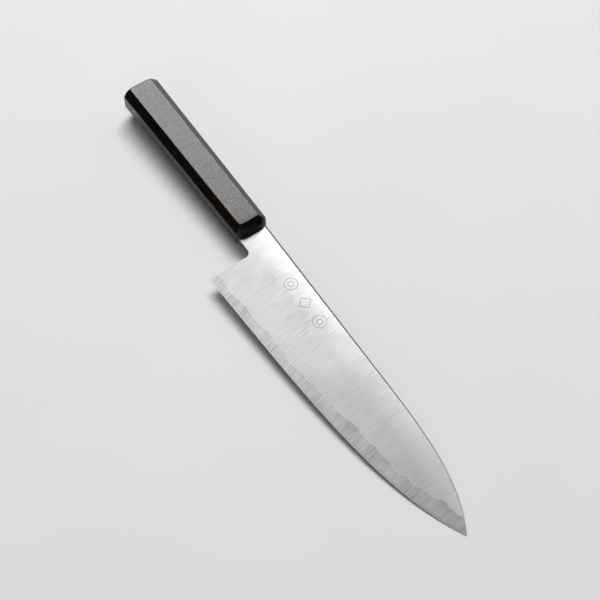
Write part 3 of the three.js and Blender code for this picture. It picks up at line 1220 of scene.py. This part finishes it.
class Piece:
    """A new piece of the knife: one closed skin with one finish, standing for one CAD node.

    Attributes:
        name: Name of the piece.
        node: The node that it replaces.
        slot: Name of the material slot that its finish is meant for; the finish itself is handed to
            build.
        sharp_angle: Edges turning by more than this, in radians, stay sharp.
    """

    name: str
    node: str
    slot: str
    sharp_angle: float

    def skin(self) -> Skin:
        """The piece's closed skin, in the knife's own axes."""
        raise NotImplementedError

    def build(self, placement: Placement, material: bpy.types.Material) -> bpy.types.Object:
        """Makes the piece and dresses it.

        Args:
            placement: Where the knife rests.
            material: Its finish.

        Returns:
            The finished piece.
        """
        piece = self.skin().to_object(self.name, placement, self.sharp_angle)
        piece.data.materials.append(material)
        return attach(piece, self.node)


@dataclass(frozen=True)
class CoreLayer(Piece):
    """The hard core: the bare band along the edge, the tip, the middle of the blade and the tang.

    Attributes:
        layout: The sections it is built on.
        bevel_rows: Rows over the cutting bevel.
        bare_rows: Rows over the bare band above the bevel.
        highest_border: Largest share of the blade's depth that the bare band takes at the tip.
    """

    name = "core_layer"
    node = "blade_core"
    slot = "core_steel"
    sharp_angle = STEEL_SHARP_ANGLE

    layout: BladeLayout
    bevel_rows: int = 2
    bare_rows: int = 9
    highest_border: float = 0.85

    def skin(self) -> Skin:
        """Carries the core's section along the knife.

        Each section runs up the right side and down the left. The bare band follows the ground
        face; above the border the core is flat and a little inside the claddings' inner faces.

        Returns:
            The closed skin, with each point's height above the edge.
        """
        layout, shape = self.layout, self.layout.shape
        at = layout.stations()
        x = at.x[:, None]
        border = np.minimum(at.weld, lerp(at.edge, at.top, self.highest_border))
        bevel_top = at.edge + np.minimum(shape.bevel_width, (border - at.edge) / 3)
        heights = np.concatenate(
            [
                rows_between(at.edge, bevel_top, self.bevel_rows),
                rows_between(bevel_top, border, self.bare_rows),
                np.stack([border, np.maximum(at.join, border), at.low, at.high, at.top], axis=1),
            ],
            axis=1,
        )
        rise = heights - shape.edge(x)
        ground = shape.ground_half(x, rise)
        covered = np.minimum(ground, layout.core_half(x) - layout.layer_gap)
        bare = (rise <= layout.border_rise(x) + TINY) & (x >= shape.neck_length)
        bare |= x > layout.cladding_end()
        half = np.where(bare, ground, covered)
        right = np.stack([np.broadcast_to(x, heights.shape), heights, half], axis=-1)
        left = right[:, ::-1] * np.array([1, 1, -1])
        above = np.concatenate([rise, rise[:, ::-1]], axis=1)
        return Skin.over_rings(np.concatenate([right, left], axis=1), {"above_edge": above})


@dataclass(frozen=True)
class Cladding(Piece):
    """One outer layer of soft steel, from the weld line to the spine, over the neck and the tang.

    Attributes:
        layout: The sections it is built on.
        side: Which face it covers.
        engraving: Marks punched into it, if it has any.
        lip: How proud its border stands above the core.
        border_share: Share of the way to the neck's rows that the closest rows take.
        border_rows: How many of those there are.
        lower_rows: Rows from there up to the neck's rows.
        side_rows: Rows below and above the tang's height.
        plain_rows: Rows over the tang's height on a plain face.
        marked_rows: The same on a face with marks.
        corner_rows: Rows over the spine's eased corner.
        corner_shade_fade: Angle over the corner in which the painted dark reflection comes in, in
            radians.
        no_border: Height above the border that the neck and tang carry, which have none.
    """

    slot = "cladding_steel"
    sharp_angle = STEEL_SHARP_ANGLE

    layout: BladeLayout
    side: Side
    engraving: Engraving | None = None
    lip: float = 0.012
    border_share: float = 0.04
    border_rows: int = 3
    lower_rows: int = 8
    side_rows: int = 5
    plain_rows: int = 8
    marked_rows: int = 70
    corner_rows: int = 10
    corner_shade_fade: float = math.pi / 8
    no_border: float = 99.0

    @property
    def name(self) -> str:
        """Name of the piece, after its side."""
        return f"{self.side.name.lower()}_cladding"

    @property
    def node(self) -> str:
        """The node that it replaces, on the same side."""
        return f"cladding_{self.side.name.lower()}"

    def heights(self, at: Stations) -> np.ndarray:
        """Heights of the outer face's rows, from the border over the spine's eased corner.

        Args:
            at: The sections.

        Returns:
            Array (sections, rows).
        """
        shoulder = at.top - at.easing
        turns = np.linspace(0, math.pi / 2, self.corner_rows)
        arc = shoulder[:, None] + at.easing[:, None] * np.sin(turns)[None, :]
        near_border = lerp(at.weld, at.join, self.border_share)
        rows = [
            rows_between(at.weld, near_border, self.border_rows),
            rows_between(near_border, at.join, self.lower_rows),
            rows_between(at.join, at.low, self.side_rows),
            rows_between(at.low, at.high, self.marked_rows if self.engraving else self.plain_rows),
            rows_between(at.high, np.maximum(shoulder, at.high), self.side_rows),
            np.maximum(arc, at.high[:, None]),
        ]
        return np.concatenate(rows, axis=1)

    def skin(self) -> Skin:
        """Carries the cladding's section along the knife.

        Each section runs up the outer face, over the spine's eased corner and down the flat inner
        face. The outer face follows the ground face, with the marks sunk into it.

        Returns:
            The closed skin, on its own side, with each point's height above the weld line, share of
            the painted dark reflection on the spine's corner, depth below the spine and depth in a
            mark.
        """
        layout, shape = self.layout, self.layout.shape
        at = layout.stations(end=layout.cladding_end())
        x = at.x[:, None]
        heights = self.heights(at)
        inner_heights = np.stack([at.top, at.high, at.low, at.join, at.weld], axis=1)
        all_heights = np.concatenate([heights, inner_heights], axis=1)
        plain = np.zeros_like(inner_heights)
        turns = np.linspace(0, math.pi / 2, self.corner_rows)
        inner_half = layout.core_half(x)
        outer = shape.ground_half(x, heights - shape.edge(x)) + self.lip
        eased_off = shape.spine_easing_ratio * at.easing[:, None] * (1 - np.cos(turns))[None, :]
        outer[:, -len(turns) :] -= eased_off
        fill = np.zeros_like(heights)
        if self.engraving:
            fill = self.engraving.fill(x, heights) * (x > shape.neck_length)
            outer -= self.engraving.depth * fill
        outer = np.maximum(outer, inner_half + layout.layer_gap / 4)
        halves = np.concatenate([outer, np.broadcast_to(inner_half, plain.shape)], axis=1)
        rings = np.stack([np.broadcast_to(x, halves.shape), all_heights, halves], axis=-1)
        rings[-1] = rings[-1].mean(axis=0)
        above = all_heights - at.weld[:, None]
        above[:, : heights.shape[1]][at.x < shape.neck_length] = self.no_border
        # Share of the painted dark reflection over the spine's eased corner.
        on_corner = np.zeros_like(heights)
        on_corner[:, -len(turns) :] = np.clip(turns / self.corner_shade_fade, 0, 1)
        values = {
            "above_weld": above,
            "on_corner": np.concatenate([on_corner, plain], axis=1),
            "below_spine": at.top[:, None] - all_heights,
            "engraved": np.concatenate([fill, plain], axis=1),
        }
        skin = Skin.over_rings(rings, values)
        return skin if self.side is Side.RIGHT else skin.mirrored()


@dataclass(frozen=True)
class HandleEnd:
    """One crowned end of the handle, in millimetres.

    Attributes:
        height: Height of the octagon there.
        thickness: Its thickness.
        chamfer: How far each chamfer cuts in.
        crown_height: How far the crown falls back at the upper and lower sides.
        crown_thickness: How far it falls back at the right and left sides.
        arris: How far the rounding of the end's arris runs.
        height_power: Power by which the crown falls back over the height.
        thickness_power: Power by which it falls back over the thickness.
    """

    height: float
    thickness: float
    chamfer: float
    crown_height: float
    crown_thickness: float
    arris: float
    height_power: float = 4.0
    thickness_power: float = 2.5

    def fall(self, y: np.ndarray, z: np.ndarray) -> np.ndarray:
        """How far the crown falls back from its middle.

        Args:
            y: Heights across the end.
            z: Places across its thickness.

        Returns:
            The share of the half height and the share of the half thickness, each to its own power
            and times its own fall.
        """
        over_height = self.crown_height * np.abs(2 * y / self.height) ** self.height_power
        across = np.abs(2 * z / self.thickness) ** self.thickness_power
        return over_height + self.crown_thickness * across

    def corners(self) -> np.ndarray:
        """The eight corners of the section, going round from the upper right.

        Returns:
            Array (8, 2) of Y and Z.
        """
        h, t, c = self.height / 2, self.thickness / 2, self.chamfer
        quarter = [(h, t - c), (h - c, t), (c - h, t), (-h, t - c)]
        return np.array(quarter + [(-y, -z) for y, z in quarter])


@dataclass(frozen=True)
class MouthSlot:
    """The slot in the handle's front that takes the neck, and the mortise behind it.

    Attributes:
        low: Height of the slot's lower wall.
        high: Height of its upper wall.
        half_thickness: Half its thickness.
        depth: How far back its floor lies.
        mortise_height: Height of the mortise.
        mortise_thickness: Its thickness.
        mortise_end: Where its blind end lies.
    """

    low: float = -11.65
    high: float = 10.44
    half_thickness: float = 1.95
    depth: float = 4.2
    mortise_height: float = 12.6
    mortise_thickness: float = 5.6
    mortise_end: float = -108.0

    def outline(self, rays: np.ndarray, shrink: float = 0.0) -> np.ndarray:
        """Where rays from the handle's axis meet the slot's walls.

        A ray meets the nearer of the wall above or below and the wall beside it.

        Args:
            rays: Array (n, 2) of directions in Y and Z.
            shrink: How far inside the slot to stay.

        Returns:
            Array (n, 2) of Y and Z.
        """
        y, z = rays.T
        wall_y = np.where(y > 0, self.high - shrink, -self.low - shrink)
        wall_z = self.half_thickness - shrink
        reach_y = wall_y / np.maximum(np.abs(y), TINY)
        reach_z = wall_z / np.maximum(np.abs(z), TINY)
        return rays * np.minimum(reach_y, reach_z)[:, None]

    def mortise_outline(self, rays: np.ndarray) -> np.ndarray:
        """Where rays from the axis meet the mortise: flat sides between two half circles.

        Args:
            rays: Array (n, 2) of directions in Y and Z.

        Returns:
            Array (n, 2) of Y and Z.
        """
        ways = unit(rays)
        y, z = np.abs(ways).T
        radius = self.mortise_thickness / 2
        centre = self.mortise_height / 2 - radius
        side = radius / np.maximum(z, TINY)
        round_end = centre * y + np.sqrt(np.maximum(radius**2 - (centre * z) ** 2, 0))
        return ways * np.where(side * y <= centre, side, round_end)[:, None]


@dataclass(frozen=True)
class OctagonHandle(Piece):
    """The one-piece wooden handle: eight tapering facets, softly broken arrises and crowned ends.

    Attributes:
        length: Its length.
        front: The end that takes the blade.
        butt: The thicker end.
        mouth: The slot and the mortise.
        arris_cut: How far the broken arrises reach onto each facet.
        arris_steps: Points over each arris, and rings over each end's arris.
        glint_strength: Strength of the painted highlight on each long arris, from the upper right
            one down.
        butt_shares: How far out the rings of the butt's crown lie, as shares of its rim.
        front_steps: Where the rings of the front's crown lie, from its arris to the slot.
        facet_rings: Rings along the facets.
        facet_ends: Where the first and last of them lie, as shares of the facets' length.
        facet_places: Points across half a facet, besides those on the slot's corners.
        last_share: Share of the front's rim that its arris is rounded towards.
        clear_of_arris: Where the front's crown begins, in runs of its arris's rounding.
    """

    name = "octagon_handle"
    node = "handle_body"
    slot = "handle_wood"
    sharp_angle = HANDLE_SHARP_ANGLE

    length: float = 148.7
    front: HandleEnd = HandleEnd(24.2, 18.65, 4.8, 4.4, 6.5, 0.28)
    butt: HandleEnd = HandleEnd(27.6, 21.5, 5.4, 2.5, 2.5, 0.7)
    mouth: MouthSlot = MouthSlot()
    arris_cut: float = 0.2
    arris_steps: int = 5
    # Strength of the painted highlight on each long arris.
    glint_strength: tuple[float, float, float, float] = (0.6, 0.4, 1.0, 0.2)
    butt_shares: tuple[float, ...] = (0.1, 0.3, 0.5, 0.66, 0.78, 0.87, 0.93)
    front_steps: tuple[float, ...] = (0.0, 0.06, 0.14, 0.24, 0.36, 0.5, 0.66, 0.83, 1.0)
    facet_rings: int = 26
    facet_ends: Span = (0.03, 0.97)
    facet_places: tuple[float, ...] = (0.03, 0.14, 0.3, 0.42)
    last_share: float = 0.97
    clear_of_arris: float = 1.1

    def facet_shares(self) -> np.ndarray:
        """Places of the points across a facet: close to its arrises, and on the slot's corners.

        Returns:
            Shares of the facet's width.
        """
        half_width = self.front.thickness / 2 - self.front.chamfer
        half_height = self.front.height / 2
        corner_high = self.mouth.half_thickness * half_height / self.mouth.high
        corner_low = self.mouth.half_thickness * half_height / -self.mouth.low
        half_facet = half_width - self.arris_cut
        corners = [0.5 - corner / half_facet / 2 for corner in (corner_low, corner_high)]
        left = sorted([*self.facet_places, *corners])
        return np.array(left + [0.5] + [1 - share for share in reversed(left)])

    def ring(self, end: HandleEnd) -> np.ndarray:
        """Points round the octagon of an end, with its arrises broken by short curves.

        Each arris is a quadratic curve from one facet to the next, pulled towards the corner.

        Args:
            end: The end whose section is wanted.

        Returns:
            Array (n, 2) of Y and Z.
        """
        corner = end.corners()
        start = corner + self.arris_cut * unit(np.roll(corner, 1, axis=0) - corner)
        leave = corner + self.arris_cut * unit(np.roll(corner, -1, axis=0) - corner)
        steps = np.linspace(0, 1, self.arris_steps)[None, :, None]
        arris = bend(start[:, None], corner[:, None], leave[:, None], steps)
        shares = self.facet_shares()[None, :, None]
        facet = lerp(leave[:, None], np.roll(start, -1, axis=0)[:, None], shares)
        return np.concatenate([arris, facet], axis=1).reshape(-1, 2)

    def arris_glint_strength(self, rings: np.ndarray) -> np.ndarray:
        """Strength of the painted highlight on the long arrises at each point.

        Args:
            rings: The handle's rings.

        Returns:
            Array (rings, points in a ring): the painted highlight strength of its arris on points
                of an arris, and nought on the facets, the ends and the mortise.
        """
        on_side = rings.shape[1] // 8
        on_arris = np.arange(rings.shape[1]) % on_side < self.arris_steps
        # Painted highlight strength on the points of each long arris.
        arris_glint = np.where(on_arris, np.repeat(np.tile(self.glint_strength, 2), on_side), 0.0)
        first = len(self.butt_shares) + self.arris_steps
        along = np.zeros(len(rings))
        along[first : first + self.facet_rings] = 1
        return along[:, None] * arris_glint

    def on_facets(self, x: np.ndarray) -> np.ndarray:
        """Points of the facets, each at a place of its own along the handle.

        Args:
            x: The place of each point of the ring.

        Returns:
            Array (n, 3): between the front's section and the butt's by the share of the length.
        """
        share = (-x / self.length)[:, None]
        return np.column_stack([x, lerp(self.ring(self.front), self.ring(self.butt), share)])

    def on_crown(self, end: HandleEnd, rim: np.ndarray, share: Numbers) -> np.ndarray:
        """Points of a crowned end at shares of the way from its middle to its rim.

        Args:
            end: The end.
            rim: Array (n, 2) of the rim's Y and Z.
            share: The share for all points, or one for each.

        Returns:
            Array (n, 3).
        """
        share = np.broadcast_to(share, (len(rim),))[:, None]
        fall = end.fall(*(self.ring(end) * share).T)
        x = -fall if end is self.front else fall - self.length
        return np.column_stack([x, rim * share])

    def over_arris(
        self, corner: np.ndarray, before: np.ndarray, after: np.ndarray, reach: float
    ) -> list[np.ndarray]:
        """Rings over an end's arris, from the ring before it to the ring after it.

        Args:
            corner: Points on the arris.
            before: The ring that comes before.
            after: The ring that comes after.
            reach: How far the rounding runs to each side.

        Returns:
            The rings.
        """
        first, last = corner + reach * unit(before - corner), corner + reach * unit(after - corner)
        return [bend(first, corner, last, step) for step in np.linspace(0, 1, self.arris_steps)]

    def rings(self) -> np.ndarray:
        """All rings from the middle of the butt over the facets and the front into the mortise.

        Returns:
            Array (rings, points in a ring, 3).
        """
        front, butt, mouth = self.front, self.butt, self.mouth
        front_x = -front.fall(*self.ring(front).T)
        butt_x = butt.fall(*self.ring(butt).T) - self.length
        front_rim, butt_rim = self.on_facets(front_x), self.on_facets(butt_x)
        rim = front_rim[:, 1:]
        butt_crown = [self.on_crown(butt, butt_rim[:, 1:], share) for share in self.butt_shares]
        along = np.linspace(*self.facet_ends, self.facet_rings)
        facets = [self.on_facets(lerp(butt_x, front_x, share)) for share in along]
        butt_arris = self.over_arris(butt_rim, butt_crown[-1], facets[0], butt.arris)
        near = self.on_crown(front, rim, self.last_share)
        front_arris = self.over_arris(front_rim, facets[-1], near, front.arris)
        slot = mouth.outline(rim)
        rim_reach = np.linalg.norm(rim, axis=1)
        slot_share = np.linalg.norm(slot, axis=1) / rim_reach
        start_share = 1 - self.clear_of_arris * front.arris / rim_reach
        front_shares = [lerp(start_share, slot_share, step) for step in self.front_steps]
        front_crown = [self.on_crown(front, rim, share) for share in front_shares]
        mortise = mouth.mortise_outline(slot)
        ends = [(-mouth.depth, slot), (-mouth.depth, mortise), (mouth.mortise_end, mortise)]
        inside = [np.column_stack([np.full(len(slot), x), outline]) for x, outline in ends]
        return np.array(butt_crown + butt_arris + facets + front_arris + front_crown + inside)

    def skin(self) -> Skin:
        """The handle's closed skin, with the painted highlight strength of its arrises."""
        rings = self.rings()
        return Skin.over_rings(rings, {"arris": self.arris_glint_strength(rings)})


@dataclass(frozen=True)
class MouthBead(Piece):
    """The bead of dark resin that seals the joint round the neck.

    Attributes:
        handle: The handle whose slot it fills.
        clearance: Gap to the slot and the neck.
        set_back: How far it lies below the crown.
        sag: How much further it sinks in its middle.
        neck_low: Lower side of the neck.
        neck_high: Upper side of the neck.
        neck_half: Half the neck's thickness.
        least_height: How high the bead stands above the slot's floor at least.
    """

    name = "mouth_bead"
    node = "mouth_seal"
    slot = "seal_resin"
    sharp_angle = HANDLE_SHARP_ANGLE

    handle: OctagonHandle
    clearance: float = 0.05
    set_back: float = 0.1
    sag: float = 0.09
    neck_low: float = -11.2
    neck_high: float = 9.99
    neck_half: float = 1.51
    least_height: float = 0.02

    def rings(self) -> np.ndarray:
        """The bead's small section carried round the neck.

        The section has a flat floor and walls, and a top that sinks between the wood and the steel.

        Returns:
            Array (points round the neck, points of the section, 3).
        """
        mouth = self.handle.mouth
        rays = mouth.outline(self.handle.ring(self.handle.front))
        outer = mouth.outline(rays, self.clearance)
        neck = MouthSlot(low=self.neck_low, high=self.neck_high, half_thickness=self.neck_half)
        inner = neck.outline(rays, -self.clearance)
        floor = np.full(len(rays), self.clearance - mouth.depth)
        shares = np.array([0.0, 1.0, 1.0, 0.75, 0.5, 0.25, 0.0])
        sinks = np.array([0, 0, 0, self.sag * 0.75, self.sag, self.sag * 0.75, 0])
        columns = []
        for index, (share, sink) in enumerate(zip(shares, sinks)):
            place = lerp(inner, outer, share)
            top = -self.handle.front.fall(*place.T) - self.set_back - sink
            x = floor if index < 2 else np.maximum(top, floor + self.least_height)
            columns.append(np.column_stack([x, place]))
        return np.stack(columns, axis=1)

    def skin(self) -> Skin:
        """The bead's skin, closed round the neck."""
        return Skin.over_rings(self.rings(), {}, looped=True)


def attach(piece: bpy.types.Object, node: str) -> bpy.types.Object:
    """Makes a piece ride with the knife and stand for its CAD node.

    Args:
        piece: The finished piece.
        node: The node that it replaces.

    Returns:
        The piece.
    """
    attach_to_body(piece, BODY)
    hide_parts(node)
    LOG.info("%s: %d triangles for %s", piece.name, len(piece.data.polygons), node)
    return piece


@dataclass(frozen=True)
class SoftBox:
    """A flat soft light.

    Attributes:
        name: Its name.
        azimuth: Degrees clockwise from the way the camera looks.
        elevation: Degrees above the floor.
        distance: Metres from the knife.
        width: Its width in metres.
        height: Its height in metres.
        radiance: How bright its face is.
    """

    name: str
    azimuth: float
    elevation: float
    distance: float
    width: float
    height: float
    radiance: float

    def build(self, ahead: Vector, right: Vector) -> bpy.types.Object:
        """Sets the light up, facing the knife.

        A flat light of power P and area A has a face of radiance P / (pi A).

        Args:
            ahead: Level direction in which the camera looks.
            right: Level direction to its right.

        Returns:
            The light.
        """
        turn, rise = math.radians(self.azimuth), math.radians(self.elevation)
        level = ahead * math.cos(turn) + right * math.sin(turn)
        towards = level * math.cos(rise) + Vector((0, 0, math.sin(rise)))
        data = bpy.data.lights.new(self.name, "AREA")
        data.shape = "RECTANGLE"
        data.size, data.size_y = self.width, self.height
        data.energy = self.radiance * math.pi * self.width * self.height
        light = bpy.data.objects.new(self.name, data)
        light.location = towards * self.distance
        light.rotation_euler = towards.to_track_quat("Z", "Y").to_euler()
        bpy.context.scene.collection.objects.link(light)
        return light


@dataclass(frozen=True)
class Studio:
    """Plain pale floor, soft boxes and the camera.

    Attributes:
        target: Where the camera looks, in metres.
        camera_place: Where it stands.
        lens: Focal length in millimetres.
        floor_half: Half the floor's width in metres.
        floor_colour: Tint of the floor.
        surroundings: Brightness of the room around.
        boxes: The lights.
        sensor: Width of the camera's sensor in millimetres.
        clip: Nearest and furthest distance that the camera sees, in metres.
    """

    target: tuple[float, float, float] = (0.00455, 0.01383, 0.0)
    camera_place: tuple[float, float, float] = (0.4307, -0.2813, 0.8032)
    lens: float = 87.0
    floor_half: float = 4.0
    floor_colour: Colour = (0.95, 0.95, 0.945)
    surroundings: float = 0.004
    boxes: tuple[SoftBox, ...] = (
        SoftBox("window_box", -1.5, 49, 4.0, 3.0, 1.6, 9.9),
        SoftBox("ceiling_box", 180, 78, 4.0, 2.4, 1.8, 0.9),
        SoftBox("right_wall", 66, 22, 4.0, 2.6, 2.2, 0.5),
        SoftBox("near_wall", 150, 22, 4.0, 3.6, 2.2, 0.22),
        SoftBox("behind_wall", 194, 20, 4.0, 2.6, 2.2, 0.5),
        SoftBox("back_wall", 226, 22, 4.0, 2.4, 2.2, 0.5),
        SoftBox("far_wall", 297, 20, 4.0, 1.4, 2.2, 0.25),
        SoftBox("left_wall", 325, 22, 4.0, 2.4, 2.2, 0.5),
    )
    sensor: float = 36.0
    clip: Span = (0.01, 50.0)

    def floor(self) -> bpy.types.Object:
        """A wide level sheet with a faint uneven tone.

        Returns:
            The floor, staged.
        """
        half = self.floor_half
        mesh = bpy.data.meshes.new("pale_floor")
        corners = [(-half, -half, 0), (half, -half, 0), (half, half, 0), (-half, half, 0)]
        mesh.from_pydata(corners, [], [(0, 1, 2, 3)])
        sheet = bpy.data.objects.new("pale_floor", mesh)
        bpy.context.scene.collection.objects.link(sheet)
        graph = Graph("pale_plaster")
        clouds = graph.stretched_noise((5, 5, 5), detail=3.0)
        darker = tuple(0.97 * level for level in self.floor_colour)
        colour = graph.blend(graph.remap(clouds, CLOUD_SPAN), darker, self.floor_colour)
        graph.set_shader(Base_Color=colour, Roughness=0.9, Specular_IOR_Level=0.2)
        mesh.materials.append(graph.material)
        return sheet

    def camera(self) -> bpy.types.Object:
        """The camera, level, looking at the target.

        Returns:
            The camera, made the scene's own.
        """
        data = bpy.data.cameras.new("view")
        data.lens, data.sensor_width = self.lens, self.sensor
        data.clip_start, data.clip_end = self.clip
        camera = bpy.data.objects.new("view", data)
        camera.location = Vector(self.camera_place)
        gaze = Vector(self.target) - Vector(self.camera_place)
        camera.rotation_euler = gaze.to_track_quat("-Z", "Y").to_euler()
        bpy.context.scene.collection.objects.link(camera)
        bpy.context.scene.camera = camera
        return camera

    def build(self) -> None:
        """Sets up the floor, the lights, the room's tone and the camera."""
        self.floor()
        self.camera()
        gaze = Vector(self.target) - Vector(self.camera_place)
        ahead = Vector((gaze.x, gaze.y, 0)).normalized()
        right = Vector((ahead.y, -ahead.x, 0))
        for box in self.boxes:
            box.build(ahead, right)
        world = bpy.data.worlds.new("room")
        world.use_nodes = True
        room = world.node_tree.nodes["Background"]
        room.inputs["Color"].default_value = (1.0, 1.0, 1.0, 1.0)
        room.inputs["Strength"].default_value = self.surroundings
        bpy.context.scene.world = world
        bpy.context.scene.view_settings.view_transform = "Standard"
        LOG.info("studio: %d lights", len(self.boxes))


def resting_placement(shape: BladeShape, handle: OctagonHandle) -> Placement:
    """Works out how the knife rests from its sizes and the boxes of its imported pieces.

    It leans forward from the lower front arris of the handle onto the tip.

    Args:
        shape: The blade.
        handle: The handle.

    Returns:
        The placement of the knife's own axes.
    """
    ends = np.array([-handle.front.crown_thickness, handle.butt.crown_thickness - handle.length])
    halves = lerp(handle.front.thickness, handle.butt.thickness, -ends / handle.length) / 2
    (arris_x, butt_x), (arris_half, butt_half) = ends, halves
    lean = math.atan2(arris_half, shape.tip_x - arris_x)
    core_high = np.array(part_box("blade_core")[1]) / METRES_PER_MM
    wood_low, wood_high = (np.array(corner) / METRES_PER_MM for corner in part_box("handle_body"))
    x = core_high[0] - shape.tip_x * math.cos(lean)
    y = (wood_low[1] + wood_high[1]) / 2
    z = wood_high[2] - butt_half * math.cos(lean) + butt_x * math.sin(lean)
    return Placement(lean, (float(x), float(y), float(z)))


def dress_bedding(node: bpy.types.Object) -> None:
    """Gives the resin round the tang its finish.

    Args:
        node: The CAD node, which keeps its shape.
    """
    amber = Resin("amber_bedding_resin", (0.36, 0.27, 0.15), (0.24, 0.17, 0.08))
    material = amber.material()
    for slot in node.material_slots:
        slot.material = material


def main() -> None:
    """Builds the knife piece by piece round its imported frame, and then the studio."""
    logging.basicConfig(level=logging.INFO, format="%(name)s: %(message)s")
    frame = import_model()
    shape, handle, engraving = BladeShape(), OctagonHandle(), Engraving()
    placement = resting_placement(shape, handle)
    LOG.info("lean %.4f degrees, offset %s", math.degrees(placement.lean), placement.offset)
    layout = BladeLayout(shape, WeldLine(), engraving)
    CoreLayer(layout).build(placement, CoreSteel().material())
    steel = CladdingSteel().material()
    Cladding(layout, Side.RIGHT, engraving).build(placement, steel)
    Cladding(layout, Side.LEFT).build(placement, steel)
    handle.build(placement, DarkWood().material())
    seal = Resin("dark_seal_resin", (0.012, 0.01, 0.009), (0.008, 0.007, 0.006))
    MouthBead(handle).build(placement, seal.material())
    dress_bedding(frame["nodes"]["tang_bedding"])
    LOG.info("tang_bedding: kept as packed, dressed in amber resin")
    Studio().build()


if __name__ == "__main__":
    main()
